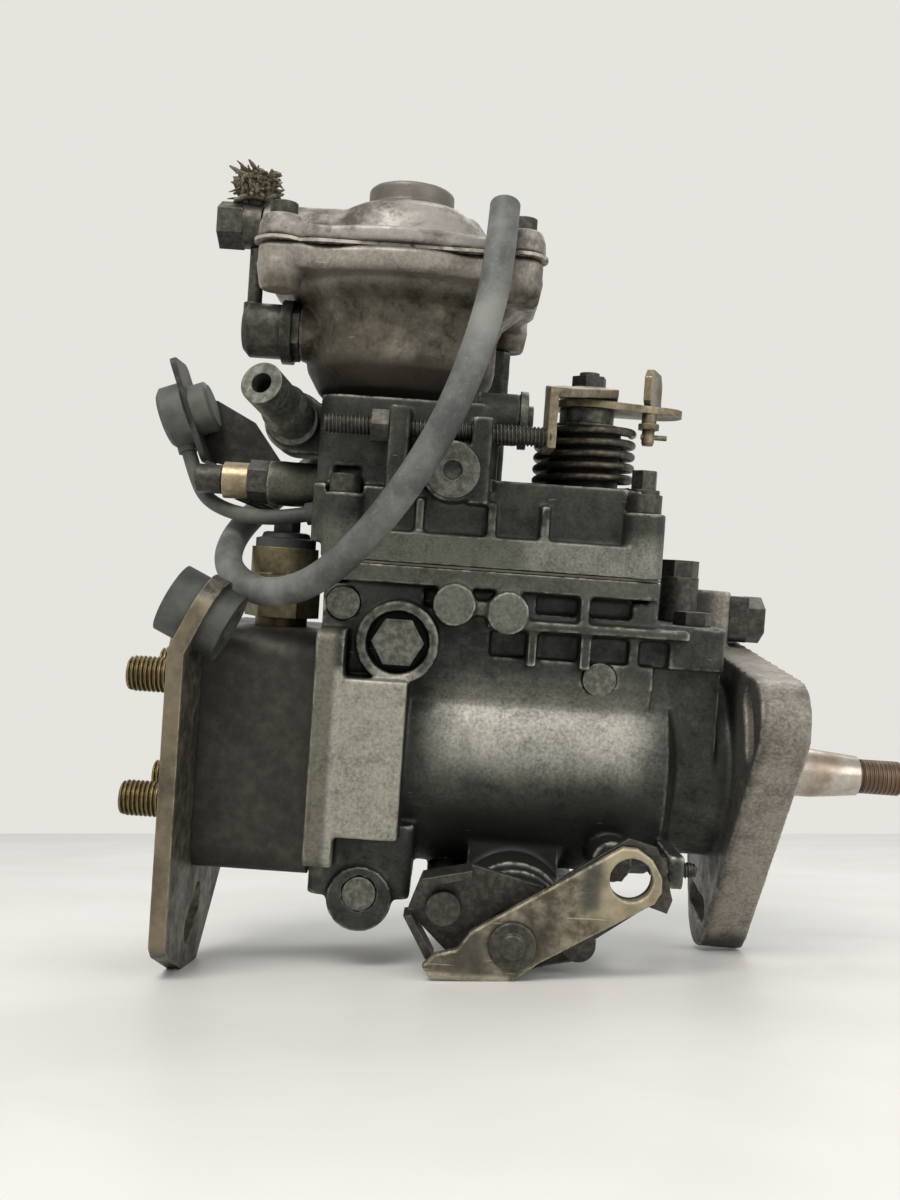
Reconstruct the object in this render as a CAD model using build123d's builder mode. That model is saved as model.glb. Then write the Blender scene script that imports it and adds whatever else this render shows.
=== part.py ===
"""Rotary diesel injection pump with a boost compensator, a governor and a cold-start lever.

Frame: the origin is on the drive shaft's axis, in the outer face of the mounting flange.
+X runs along the shaft to its free end, +Z is up, and -Y is the side with the levers.
"""

import os
from math import cos, pi, radians, sin, tan

from build123d import *

# Clearances between pieces
running_gap = 0.05
seat_gap = 0.1
free_gap = 0.3
bolt_gap = 0.2

# Drive shaft
shaft_radius = 8.5
taper_start_x = 20.0
taper_length = 16.0
taper_slope = 0.1
shaft_thread_radius = 6.0
shaft_thread_length = 16.0
keyway_width = 3.0
keyway_depth = 1.6

# Mounting flange and pilot spigot
flange_thickness = 15.5
flange_lobe_radius = 14.5
flange_bolt_circle_radius = 50.8
flange_lobe_angles = (155.0, 275.0, 35.0)
flange_slot_radius = 4.5
flange_slot_half_angle = 8.0
spigot_radius = 25.0
spigot_length = 5.0

# Pump housing
rear_face_x = -152.0
barrel_radius = 39.0
bore_radius = 32.0
barrel_end_x = -38.0
neck_start_x = -34.0
neck_radius = 31.0
joint_z = 63.3
wall_y = 38.0
chamber_wall = 9.0
cover_right_x = -44.7
cover_left_x = -152.5
cover_half_width = 42.0
shelf_end_x = -21.6
shelf_z = 50.0
bore_end_x = -46.0
chamber_start_x = -146.0
chamber_end_x = -52.0
rear_flange_thickness = 9.0
pad_y = -50.0
pad_end_x = -123.0
pad_bottom_z = -23.0
pad_top_z = 27.0
ledge_y = -43.0

# Pivot of the governor lever in the housing wall
pivot_x = -127.0
pivot_z = 39.0
pivot_boss_radius = 13.0
pivot_recess_radius = 10.0
pivot_boss_y = 47.0
pivot_bolt_radius = 4.0
pivot_head_radius = 7.2
pivot_tip_y = 26.0

# Timing device across the bottom of the housing
timing_x = -85.0
timing_z = -45.0
timing_outer_radius = 17.0
timing_bore_radius = 11.0
timing_half_length = 44.0
timing_cover_thickness = 6.0
timing_piston_half_length = 20.0
ring_pin_radius = 2.8

# Distributor head and outlets
head_length = 37.0
head_half_width = 39.5
head_corner_radius = 9.0
head_nose_length = 7.0
outlet_radius_from_axis = 29.7
outlet_thread_radius = 6.0
outlet_hex = 14.0
outlet_tip_x = -217.0
outlet_bore_radius = 2.0
sealing_plug_radius = 11.0

# Plunger group
plunger_radius = 5.0
barrel_sleeve_radius = 10.0
barrel_sleeve_end_x = -131.0
cam_face_x = -93.0
cam_plate_thickness = 6.5
cam_plate_radius = 28.0
roller_radius = 4.5
roller_length = 8.0
roller_circle_radius = 23.0
roller_ring_front_x = -79.0
roller_ring_back_x = -90.0
roller_ring_bore = 17.0
collar_x = -123.0
collar_length = 8.0
collar_radius = 12.0

# Feed pump and governor drive
feed_ring_length = 12.0
feed_ring_offset = 2.0
feed_ring_bore = 27.0
feed_rotor_radius = 22.0
feed_vane_thickness = 2.4
feed_vane_reach = 24.6
drive_gear_front_x = -63.0
gear_width = 7.0
drive_gear_teeth = 40
governor_gear_teeth = 30
governor_axis_z = 52.0
governor_shaft_radius = 4.0
governor_shaft_end_x = -111.0
flyweight_length = 20.0
flyweight_inner_radius = 8.5
flyweight_outer_radius = 15.5
sleeve_radius = 6.5
sleeve_end_x = -117.0

# Rear bracket
bracket_thickness = 5.0
bracket_near_y = -66.0
bracket_bend_z = 33.0
bracket_lean = 25.0
bracket_ear_far_y = -40.5
bracket_bush_radius = 11.0
bracket_bush_bore = 6.0

# Governor cover
gasket_thickness = 0.7
cover_flange_thickness = 10.0
deck_z = 92.5
deck_left_x = -99.0
tower_left_x = -158.0
tower_half_width = 34.0
tower_top_z = 117.0
full_load_y = -8.0
full_load_z = 88.5
full_load_boss_radius = 7.7
full_load_boss_end_x = -176.4
full_load_screw_radius = 4.0

# Boost unit on the cover
boost_x = -134.5
boost_flange_half_width = 46.0
boost_flange_corner_radius = 21.0
boost_seam_z = 162.0
boost_body_flange = 9.0
boost_cover_flange = 8.0
boost_bowl_radius = 33.0
boost_floor_z = 128.0
boost_cap_radius = 14.5
boost_cap_top_z = 194.0
boost_dome_radius = 27.0
boost_dome_top_z = 186.5
boost_bolt_offset = 38.0
boost_pin_radius = 4.0
boost_port_z = 140.0
boost_feed_z = 175.0
boost_feed_y = -10.0

# Union of the return line, on its boss beside the tower
return_boss_x = -168.0
return_boss_z = 109.0
return_boss_radius = 10.5
return_seat_y = -16.0
return_tip = (-175.0, -45.0, 117.0)

# Plug in the cover's deck
deck_plug_x = -48.5
deck_plug_y = -14.5

# Control lever on its upright shaft
control_x = -68.0
control_shaft_radius = 4.5
return_spring_radius = 16.3
return_spring_wire = 3.0
return_spring_pitch = 4.0
return_spring_turns = 5
control_plate_z = 126.0
control_plate_thickness = 3.0
control_leg_x = -80.0
control_leg_bottom_z = 103.0

# Speed stop screw
stop_screw_y = -42.0
stop_screw_z = 106.5
stop_screw_radius = 3.2
stop_screw_left_x = -155.0
stop_lug_width = 6.5
stop_lug_xs = (-131.0, -105.0)

# Eccentric stop below the screw
eccentric_x = -113.5
eccentric_z = 93.5
eccentric_seat_y = stop_screw_y - 6

# Cold-start lever
cold_x = -85.7
cold_z = -48.0
cold_shaft_radius = 4.0
cold_plate_y = -61.0
cold_plate_thickness = 3.0
cold_arm_hole_x = -51.5
cold_arm_hole_z = -26.0
cold_arm_hole_radius = 6.5
cold_arm_end_radius = 10.5
cold_bracket_thickness = 2.5

# Bolt behind the cold-start arm, and the screw that stops the arm
arm_bolt_x = -54.5
arm_bolt_z = -26.0
arm_stop_x = -36.5
arm_stop_y = -51.0
arm_stop_z = -25.0
arm_stop_radius = 2.5

# Inlet, pressure regulating valve and plug on the housing's shelf
inlet_y = 27.0
inlet_z = 52.0
inlet_seat_x = -8.0
valve_x = -29.5
valve_y = 8.0
shelf_plug_x = -31.0
shelf_plug_y = -25.0

# Fuel shut-off solenoid on the head
solenoid_x = -170.0
solenoid_y = -4.0
solenoid_radius = 11.5
solenoid_plunger_radius = 3.5

# Hose
hose_radius = 4.7
lead_radius = 2.6

# Values worked out from the ones above
flange_back_x = -flange_thickness
head_rear_x = rear_face_x - head_length
bracket_outer_x = head_rear_x - bracket_thickness
bracket_bush_y = (bracket_near_y + bracket_ear_far_y) / 2
cover_base_z = joint_z + gasket_thickness
cover_flange_top_z = cover_base_z + cover_flange_thickness
chamber_inner_y = wall_y - chamber_wall
gear_module = 2 * governor_axis_z / (drive_gear_teeth + governor_gear_teeth)
drive_gear_back_x = drive_gear_front_x - gear_width
taper_end_x = taper_start_x + taper_length
taper_small_radius = shaft_radius - taper_slope * taper_length
timing_front_y = -timing_half_length
timing_cover_front_y = timing_front_y - timing_cover_thickness
outlet_offset = outlet_radius_from_axis * sin(radians(45))
stop_screw_right_x = control_leg_x - control_plate_thickness / 2 - 0.1

os.makedirs("parts", exist_ok=True)


def facing_x(x, y=0.0, z=0.0):
    """Plane whose normal is +X, with its own axes along +Y and +Z."""
    return Plane(origin=(x, y, z), x_dir=(0, 1, 0), z_dir=(1, 0, 0))


def facing_viewer(y, x=0.0, z=0.0):
    """Plane whose normal is -Y, with its own axes along +X and +Z."""
    return Plane(origin=(x, y, z), x_dir=(1, 0, 0), z_dir=(0, -1, 0))


def facing_up(z, x=0.0, y=0.0):
    """Plane whose normal is +Z, with its own axes along +X and +Y."""
    return Plane(origin=(x, y, z), x_dir=(1, 0, 0), z_dir=(0, 0, 1))


def middle(span):
    """Half way between two limits."""
    return (span[0] + span[1]) / 2


def round_bar(plane, radius, length, at=((0, 0),), mode=Mode.ADD):
    """Round bars, or holes, along the plane's normal."""
    with BuildSketch(plane) as outline:
        with Locations(*at):
            Circle(radius)
    extrude(outline.sketch, amount=length, mode=mode)


def block(plane, width, height, length, at=((0, 0),), corner=0.0, mode=Mode.ADD):
    """Rectangular bars, or pockets, along the plane's normal."""
    with BuildSketch(plane) as outline:
        with Locations(*at):
            if corner > 0:
                RectangleRounded(width, height, corner)
            else:
                Rectangle(width, height)
    extrude(outline.sketch, amount=length, mode=mode)


def slab(x_span, y_span, z_span, corner=0.0, mode=Mode.ADD):
    """A block between the given limits, with its upright edges rounded."""
    base = facing_up(z_span[0], middle(x_span), middle(y_span))
    block(base, x_span[1] - x_span[0], y_span[1] - y_span[0], z_span[1] - z_span[0], corner=corner, mode=mode)


def hexagon_bar(plane, across_flats, length, at=((0, 0),), turn=0.0):
    """Hexagonal bars along the plane's normal."""
    with BuildSketch(plane) as outline:
        with Locations(*at):
            RegularPolygon(across_flats / 2, 6, major_radius=False, rotation=turn)
    extrude(outline.sketch, amount=length)


def turned(plane, profile, mode=Mode.ADD):
    """A form turned round the plane's normal, from points of (distance along it, radius)."""
    side = Plane(origin=plane.origin, x_dir=plane.z_dir, z_dir=plane.x_dir)
    with BuildSketch(side) as outline:
        with BuildLine():
            Polyline((profile[0][0], 0), *profile, (profile[-1][0], 0), close=True)
        make_face()
    revolve(outline.sketch, axis=Axis(plane.origin, plane.z_dir), mode=mode)


def plate(plane, corners, thickness, rounding=0.0, mode=Mode.ADD):
    """A flat piece with the given corners, its corners rounded in the plane."""
    with BuildSketch(plane) as outline:
        with BuildLine():
            Polyline(*corners, close=True)
        make_face()
        if rounding > 0:
            fillet(outline.vertices(), radius=rounding)
    extrude(outline.sketch, amount=thickness, mode=mode)


def finish(piece, name):
    """Names a finished piece and writes it."""
    piece.part.label = name
    export_step(piece.part, f"parts/{name}.step")


def lobe_centre(angle):
    """Centre of one lobe of the mounting flange, in the flange's own plane."""
    return (
        flange_bolt_circle_radius * cos(radians(angle)),
        flange_bolt_circle_radius * sin(radians(angle)),
    )


# Pump housing
near_pockets_upper = ((-120.0, -115.5), (-84.0, -70.0), (-67.0, -53.0))
near_pockets_lower = ((-98.0, -86.0), (-83.0, -69.0), (-66.0, -53.0), (-50.0, -40.0))
knob_places = ((-110.0, 52.0), (-93.0, 50.5))
knob_radius = 6.7
core_plug_places = ((-145.5, 50.0), (-62.0, 31.0))
core_plug_radius = 5.3
bottom_boss_x = -134.0
head_bolt_offset = 32.0
head_bolt_radius = 4.0
cover_screw_places = ((-147.5, -37), (-51, -37), (-147.5, 37), (-51, 37))
timing_screw_places = ((-22, 4), (20.5, -5))
timing_screw_radius = 2.5
cover_screw_radius = 3.0
cover_screw_head_radius = 5.0
cover_boss_height = 21.0

with BuildPart() as pump_housing:
    turned(
        facing_x(rear_face_x),
        [
            (0, barrel_radius),
            (barrel_end_x - rear_face_x, barrel_radius),
            (neck_start_x - rear_face_x, neck_radius),
            (flange_back_x - rear_face_x, neck_radius),
        ],
    )
    # Governor chamber, whose walls lean into the barrel
    with BuildSketch(facing_x(rear_face_x)) as chamber_section:
        with BuildLine():
            Polyline(
                (-wall_y, joint_z),
                (-wall_y, 29),
                (-wall_y + 5, 20),
                (-20, 0),
                (20, 0),
                (wall_y - 5, 20),
                (wall_y, 29),
                (wall_y, joint_z),
                close=True,
            )
        make_face()
    extrude(chamber_section.sketch, amount=cover_right_x - rear_face_x)
    slab((cover_left_x, cover_right_x), (-cover_half_width, cover_half_width), (joint_z - 6, joint_z), 5)
    # Lower shelf beside the drive end
    slab((cover_right_x - 6, shelf_end_x), (-wall_y, wall_y), (shelf_z - 14, shelf_z), 5)
    slab((cover_right_x - 6, shelf_end_x), (-neck_radius, neck_radius), (0, shelf_z - 10))
    # Rear flange, machined pad and the ledge above the barrel
    block(facing_x(rear_face_x, -5, 4.5), 92, 75, rear_flange_thickness, corner=4)
    slab((rear_face_x + 2, pad_end_x), (pad_y, 0), (pad_bottom_z, pad_top_z))
    slab((-99, -35), (ledge_y, -20), (45.5, 48.5))
    slab((-70, -67), (ledge_y + 1, -20), (48, joint_z))
    slab((-86, -83), (ledge_y + 1, -20), (34, 46))
    slab((-69, -66), (ledge_y + 1, -20), (34, 46))
    # Ring boss of the near lever pivot, a plain one opposite, and the twin cast knobs
    round_bar(facing_viewer(pivot_boss_y, pivot_x, pivot_z), pivot_boss_radius, 2 * pivot_boss_y)
    round_bar(facing_viewer(-20), knob_radius, 26.5, knob_places)
    slab((knob_places[0][0], knob_places[1][0]), (ledge_y - 1, -20), (49, 53.5))
    # Timing device, and the boss below the pad
    timing_end = facing_viewer(timing_half_length, timing_x, timing_z)
    round_bar(timing_end, timing_outer_radius, 2 * timing_half_length)
    slab((timing_x - 15, timing_x + 15), (-30, 30), (timing_z, -20))
    round_bar(timing_end, 6, 2 * timing_half_length, timing_screw_places)
    # Bosses of the inlet and of the bolt behind the cold-start arm, and the arm's stop lug
    slab((-33, inlet_seat_x), (inlet_y - 10, inlet_y + 10), (shelf_z - 8, inlet_z + 10), 2)
    round_bar(facing_viewer(-20, arm_bolt_x, arm_bolt_z), 6.5, 24)
    slab((arm_stop_x - 2.5, arm_stop_x + 2.5), (-56, -20), (arm_stop_z - 5, arm_stop_z + 5), 1.5)
    slab((bottom_boss_x - 17, bottom_boss_x + 16), (-40, 30), (-44, -20), 3)
    round_bar(facing_viewer(30, bottom_boss_x, -44), 10.5, 72)
    # Mounting flange with three lobes, and the pilot spigot
    with BuildSketch(facing_x(flange_back_x)) as flange_outline:
        for lobe_angle in flange_lobe_angles:
            with Locations(lobe_centre(lobe_angle)):
                Circle(flange_lobe_radius)
        make_hull()
    extrude(flange_outline.sketch, amount=flange_thickness)
    round_bar(facing_x(0), spigot_radius, spigot_length)

    # Main bore, governor chamber and the seats of the shaft's bush and seal
    round_bar(facing_x(rear_face_x), bore_radius, bore_end_x - rear_face_x, mode=Mode.SUBTRACT)
    slab(
        (chamber_start_x, chamber_end_x),
        (-chamber_inner_y, chamber_inner_y),
        (10, joint_z),
        4,
        mode=Mode.SUBTRACT,
    )
    round_bar(facing_x(bore_end_x), shaft_radius + 3 + seat_gap, 60, mode=Mode.SUBTRACT)
    round_bar(facing_x(spigot_length), 14 + seat_gap, -9, mode=Mode.SUBTRACT)
    round_bar(
        facing_x(chamber_end_x, 0, governor_axis_z),
        governor_shaft_radius + seat_gap,
        10,
        mode=Mode.SUBTRACT,
    )
    # Timing bore, and the slot through which the roller ring's pin reaches it
    round_bar(
        facing_viewer(timing_half_length, timing_x, timing_z),
        timing_bore_radius,
        2 * timing_half_length,
        mode=Mode.SUBTRACT,
    )
    slab((timing_x - 4, timing_x + 4), (-8, 8), (timing_z, -28), mode=Mode.SUBTRACT)
    # Recesses, pockets and holes of the walls
    for side in (-1, 1):
        round_bar(
            facing_viewer(side * pivot_boss_y, pivot_x, pivot_z),
            pivot_recess_radius,
            side * 8,
            mode=Mode.SUBTRACT,
        )
    round_bar(
        facing_viewer(pivot_boss_y, pivot_x, pivot_z),
        pivot_bolt_radius + bolt_gap,
        2 * pivot_boss_y,
        mode=Mode.SUBTRACT,
    )
    for left, right in near_pockets_upper:
        slab((left, right), (-wall_y - 1, -wall_y + 4), (50.5, joint_z - 6.5), mode=Mode.SUBTRACT)
    for left, right in near_pockets_lower:
        slab((left, right), (-wall_y - 1, -wall_y + 4), (36, 44.5), mode=Mode.SUBTRACT)
    round_bar(facing_viewer(-wall_y - 1), core_plug_radius + seat_gap, -4, core_plug_places, mode=Mode.SUBTRACT)
    round_bar(
        facing_viewer(-43, bottom_boss_x, -42), core_plug_radius + seat_gap, -5, mode=Mode.SUBTRACT
    )
    round_bar(facing_up(joint_z - 7), cover_screw_radius + bolt_gap, 8, cover_screw_places, mode=Mode.SUBTRACT)
    round_bar(
        facing_viewer(timing_half_length, timing_x, timing_z),
        timing_screw_radius + bolt_gap,
        14,
        timing_screw_places,
        mode=Mode.SUBTRACT,
    )
    round_bar(
        facing_viewer(timing_front_y, timing_x, timing_z),
        timing_screw_radius + bolt_gap,
        -14,
        timing_screw_places,
        mode=Mode.SUBTRACT,
    )
    round_bar(facing_x(inlet_seat_x, inlet_y, inlet_z), 5 + bolt_gap, -16, mode=Mode.SUBTRACT)
    round_bar(facing_up(shelf_z, valve_x, valve_y), 6 + seat_gap, -12, mode=Mode.SUBTRACT)
    round_bar(facing_up(shelf_z, shelf_plug_x, shelf_plug_y), 3 + bolt_gap, -8, mode=Mode.SUBTRACT)
    round_bar(facing_viewer(-44, arm_bolt_x, arm_bolt_z), 3 + bolt_gap, -10, mode=Mode.SUBTRACT)
    round_bar(
        facing_x(arm_stop_x - 5, arm_stop_y, arm_stop_z), arm_stop_radius + seat_gap, 10, mode=Mode.SUBTRACT
    )
    # Arc slots in the flange's lobes
    with BuildSketch(facing_x(flange_back_x)) as flange_slots:
        for lobe_angle in flange_lobe_angles:
            with BuildLine(mode=Mode.PRIVATE) as slot_path:
                CenterArc(
                    (0, 0),
                    flange_bolt_circle_radius,
                    lobe_angle - flange_slot_half_angle,
                    2 * flange_slot_half_angle,
                )
            SlotArc(slot_path.edges()[0], 2 * flange_slot_radius)
    extrude(flange_slots.sketch, amount=flange_thickness, mode=Mode.SUBTRACT)
    # Threaded holes of the head bolts
    round_bar(
        facing_x(rear_face_x),
        head_bolt_radius + bolt_gap,
        8,
        [(sy * head_bolt_offset, sz * head_bolt_offset) for sy in (-1, 1) for sz in (-1, 1)],
        mode=Mode.SUBTRACT,
    )
finish(pump_housing, "pump_housing")

# Pieces that close the housing's walls
with BuildPart() as core_plugs:
    round_bar(facing_viewer(-wall_y - 0.6), core_plug_radius, -3.5, core_plug_places)
    round_bar(facing_viewer(-42.6, bottom_boss_x, -42), core_plug_radius, -4.5)
finish(core_plugs, "core_plugs")

with BuildPart() as pivot_bolts:
    for side in (-1, 1):
        seat_y = side * (pivot_boss_y - 8)
        hexagon_bar(facing_viewer(seat_y, pivot_x, pivot_z), 2 * pivot_head_radius, -side * 6)
        shank_length = side * (abs(seat_y) - pivot_tip_y)
        round_bar(facing_viewer(seat_y, pivot_x, pivot_z), pivot_bolt_radius, shank_length)
finish(pivot_bolts, "pivot_bolts")

# Shaft bush, seal and drive shaft
with BuildPart() as shaft_bush:
    round_bar(facing_x(bore_end_x), shaft_radius + 3, 40)
    round_bar(facing_x(bore_end_x), shaft_radius + running_gap, 40, mode=Mode.SUBTRACT)
finish(shaft_bush, "shaft_bush")

with BuildPart() as shaft_seal:
    round_bar(facing_x(spigot_length - 8), 14, 7)
    round_bar(facing_x(spigot_length - 8), shaft_radius + running_gap, 7, mode=Mode.SUBTRACT)
finish(shaft_seal, "shaft_seal")

claw_root_x = -76.0
claw_end_x = -84.0
claw_width = 7.0
claw_inner_radius = 7.0
claw_outer_radius = 13.5

with BuildPart() as drive_shaft:
    turned(
        facing_x(claw_root_x),
        [
            (0, claw_outer_radius),
            (drive_gear_back_x - claw_root_x - 0.1, claw_outer_radius),
            (drive_gear_back_x - claw_root_x - 0.1, shaft_radius),
            (taper_start_x - claw_root_x, shaft_radius),
            (taper_end_x - claw_root_x, taper_small_radius),
            (taper_end_x - claw_root_x, shaft_thread_radius - 0.8),
            (taper_end_x - claw_root_x + 1.5, shaft_thread_radius - 0.8),
            (taper_end_x - claw_root_x + 1.5, shaft_thread_radius),
            (taper_end_x - claw_root_x + shaft_thread_length - 1, shaft_thread_radius),
            (taper_end_x - claw_root_x + shaft_thread_length, shaft_thread_radius - 1),
        ],
    )
    for side in (-1, 1):
        block(
            facing_x(claw_end_x),
            claw_outer_radius - claw_inner_radius,
            claw_width,
            claw_root_x - claw_end_x,
            [(side * (claw_outer_radius + claw_inner_radius) / 2, 0)],
        )
    slab(
        (taper_start_x + 3, taper_start_x + 12),
        (-keyway_width / 2, keyway_width / 2),
        (-shaft_radius - 1, -taper_small_radius + keyway_depth / 2),
        mode=Mode.SUBTRACT,
    )
finish(drive_shaft, "drive_shaft")

with BuildPart() as coupling_cross:
    round_bar(facing_x(claw_end_x + 0.5), claw_outer_radius, 7)
    with BuildSketch(facing_x(claw_end_x + 0.5)) as claw_slots:
        Rectangle(2 * claw_outer_radius + 2, claw_width + 2 * free_gap)
        Rectangle(claw_width + 2 * free_gap, 2 * claw_outer_radius + 2)
        Circle(claw_inner_radius - free_gap, mode=Mode.SUBTRACT)
    extrude(claw_slots.sketch, amount=7, mode=Mode.SUBTRACT)
finish(coupling_cross, "coupling_cross")

# Feed pump
feed_ring_x = bore_end_x - feed_ring_length

with BuildPart() as feed_pump_ring:
    round_bar(facing_x(feed_ring_x), bore_radius - seat_gap, feed_ring_length)
    round_bar(
        facing_x(feed_ring_x, feed_ring_offset), feed_ring_bore, feed_ring_length, mode=Mode.SUBTRACT
    )
finish(feed_pump_ring, "feed_pump_ring")

with BuildPart() as feed_pump_rotor:
    round_bar(facing_x(feed_ring_x + 0.3), feed_rotor_radius, feed_ring_length - 0.6)
    round_bar(
        facing_x(feed_ring_x + 0.3), shaft_radius + running_gap, feed_ring_length - 0.6, mode=Mode.SUBTRACT
    )
    with BuildSketch(facing_x(feed_ring_x + 0.3)) as vane_slots:
        with PolarLocations((feed_rotor_radius + 14) / 2, 4):
            Rectangle(feed_rotor_radius - 14 + 2, feed_vane_thickness + 2 * running_gap)
    extrude(vane_slots.sketch, amount=feed_ring_length - 0.6, mode=Mode.SUBTRACT)
    with BuildSketch(facing_x(feed_ring_x + 0.3)) as vane_section:
        with PolarLocations((feed_vane_reach + 14) / 2, 4):
            Rectangle(feed_vane_reach - 14, feed_vane_thickness)
    extrude(vane_section.sketch, amount=feed_ring_length - 0.6)
finish(feed_pump_rotor, "feed_pump_rotor")


def spur_gear(plane, teeth, width, first_angle):
    """A straight-cut gear whose tooth flanks are straight and carry backlash."""
    pitch_radius = gear_module * teeth / 2
    tip_radius = pitch_radius + 0.8 * gear_module
    root_radius = pitch_radius - 1.15 * gear_module
    step = 360 / teeth
    corners = []
    for tooth in range(teeth):
        centre = first_angle + tooth * step
        for radius, offset in (
            (root_radius, -0.30),
            (tip_radius, -0.11),
            (tip_radius, 0.11),
            (root_radius, 0.30),
        ):
            angle = radians(centre + offset * step)
            corners.append((radius * cos(angle), radius * sin(angle)))
    plate(plane, corners, width)


with BuildPart() as governor_drive_gear:
    spur_gear(facing_x(drive_gear_back_x), drive_gear_teeth, gear_width, 90)
    round_bar(facing_x(drive_gear_back_x), shaft_radius + running_gap, gear_width, mode=Mode.SUBTRACT)
finish(governor_drive_gear, "governor_drive_gear")

# Governor shaft, flyweight carrier, flyweights and sleeve
with BuildPart() as governor_shaft:
    round_bar(
        facing_x(governor_shaft_end_x, 0, governor_axis_z),
        governor_shaft_radius,
        cover_right_x - 1 - governor_shaft_end_x,
    )
finish(governor_shaft, "governor_shaft")

carrier_disc_thickness = 3.0
carrier_hub_end_x = chamber_end_x - 0.5

with BuildPart() as flyweight_carrier:
    spur_gear(
        facing_x(drive_gear_back_x, 0, governor_axis_z),
        governor_gear_teeth,
        gear_width,
        270 + 180 / governor_gear_teeth,
    )
    round_bar(facing_x(drive_gear_front_x, 0, governor_axis_z), 8, carrier_hub_end_x - drive_gear_front_x)
    round_bar(
        facing_x(drive_gear_back_x - carrier_disc_thickness, 0, governor_axis_z), 19, carrier_disc_thickness
    )
    with BuildSketch(facing_x(drive_gear_back_x - carrier_disc_thickness, 0, governor_axis_z)) as posts:
        with PolarLocations(14.5, 4, start_angle=45):
            Rectangle(7, 3)
    extrude(posts.sketch, amount=-flyweight_length)
    round_bar(
        facing_x(drive_gear_back_x - carrier_disc_thickness, 0, governor_axis_z),
        governor_shaft_radius + running_gap,
        30,
        mode=Mode.SUBTRACT,
    )
    flyweight_start_x = drive_gear_back_x - carrier_disc_thickness - 0.3
    with BuildSketch(facing_x(flyweight_start_x, 0, governor_axis_z)) as weight_section:
        Circle(flyweight_outer_radius)
        Circle(flyweight_inner_radius, mode=Mode.SUBTRACT)
        with PolarLocations(14, 4, start_angle=45):
            Rectangle(16, 6, mode=Mode.SUBTRACT)
    extrude(weight_section.sketch, amount=-flyweight_length + 1)
finish(flyweight_carrier, "flyweight_carrier")

with BuildPart() as governor_sleeve:
    turned(
        facing_x(sleeve_end_x, 0, governor_axis_z),
        [(0, 4.8), (1.5, sleeve_radius), (34, sleeve_radius)],
    )
    round_bar(
        facing_x(sleeve_end_x + 4, 0, governor_axis_z),
        governor_shaft_radius + running_gap,
        40,
        mode=Mode.SUBTRACT,
    )
finish(governor_sleeve, "governor_sleeve")

# Cam plate, plunger, its barrel, the roller ring and the control collar
cam_back_x = cam_face_x - cam_plate_thickness

with BuildPart() as cam_plate:
    round_bar(facing_x(cam_back_x), cam_plate_radius, cam_plate_thickness - running_gap)
    round_bar(facing_x(cam_back_x - 4), 9, 4)
    for side in (-1, 1):
        block(
            facing_x(cam_face_x - 1),
            claw_width,
            claw_outer_radius - claw_inner_radius,
            14,
            [(0, side * (claw_outer_radius + claw_inner_radius) / 2)],
        )
    round_bar(facing_x(cam_back_x - 4), plunger_radius + running_gap, 6, mode=Mode.SUBTRACT)
finish(cam_plate, "cam_plate")

with BuildPart() as distributor_plunger:
    round_bar(facing_x(head_rear_x + 8), plunger_radius, cam_back_x + 1.5 - head_rear_x - 8)
    round_bar(facing_x(-112), 1.5, -74, mode=Mode.SUBTRACT)
finish(distributor_plunger, "distributor_plunger")

with BuildPart() as plunger_barrel:
    round_bar(facing_x(head_rear_x + 4), barrel_sleeve_radius, barrel_sleeve_end_x - head_rear_x - 4)
    round_bar(
        facing_x(head_rear_x + 4), plunger_radius + running_gap, head_length + 30, mode=Mode.SUBTRACT
    )
finish(plunger_barrel, "plunger_barrel")

with BuildPart() as roller_ring:
    round_bar(facing_x(roller_ring_back_x), bore_radius - running_gap, roller_ring_front_x - roller_ring_back_x)
    round_bar(facing_x(roller_ring_back_x), roller_ring_bore, 20, mode=Mode.SUBTRACT)
    for turn in range(4):
        across = radians(45 + 90 * turn)
        outward = Plane(
            origin=(cam_face_x + roller_radius, 0, 0), x_dir=(1, 0, 0), z_dir=(0, cos(across), sin(across))
        )
        round_bar(
            outward.offset(roller_circle_radius - roller_length / 2 - 0.2),
            roller_radius + 0.15,
            roller_length + 0.4,
            mode=Mode.SUBTRACT,
        )
    round_bar(facing_up(timing_z - 1, timing_x), ring_pin_radius, 1 - timing_z - roller_ring_bore - 4)
    for turn in range(4):
        across = radians(45 + 90 * turn)
        outward = Plane(
            origin=(cam_face_x + roller_radius, 0, 0), x_dir=(1, 0, 0), z_dir=(0, cos(across), sin(across))
        )
        round_bar(outward.offset(roller_circle_radius - roller_length / 2), roller_radius, roller_length)
finish(roller_ring, "roller_ring")

with BuildPart() as control_collar:
    collar_end = facing_x(collar_x - collar_length / 2)
    round_bar(collar_end, collar_radius, collar_length)
    round_bar(collar_end, plunger_radius + running_gap, collar_length, mode=Mode.SUBTRACT)
    round_bar(facing_up(collar_radius - 5, collar_x), 3.2, 8, mode=Mode.SUBTRACT)
finish(control_collar, "control_collar")

lever_eye_radius = 6.0
lever_pad_z = governor_axis_z

with BuildPart() as governor_lever:
    round_bar(facing_viewer(9, pivot_x, pivot_z), lever_eye_radius, 18)
    round_bar(facing_viewer(pivot_tip_y - free_gap, pivot_x, pivot_z), 4.5, 2 * (pivot_tip_y - free_gap))
    slab((pivot_x - 3, pivot_x + 3), (-6, 6), (pivot_z, lever_pad_z + 8))
    slab((pivot_x - 3, sleeve_end_x - 0.3), (-4, 4), (lever_pad_z - 4, lever_pad_z + 4))
    slab((pivot_x - 2, pivot_x + 6), (-3, 3), (collar_radius + 3, pivot_z))
    with Locations((collar_x, 0, collar_radius - 1)):
        Sphere(2.8)
    round_bar(facing_up(collar_radius - 1, collar_x), 2, 6)
finish(governor_lever, "governor_lever")

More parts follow.
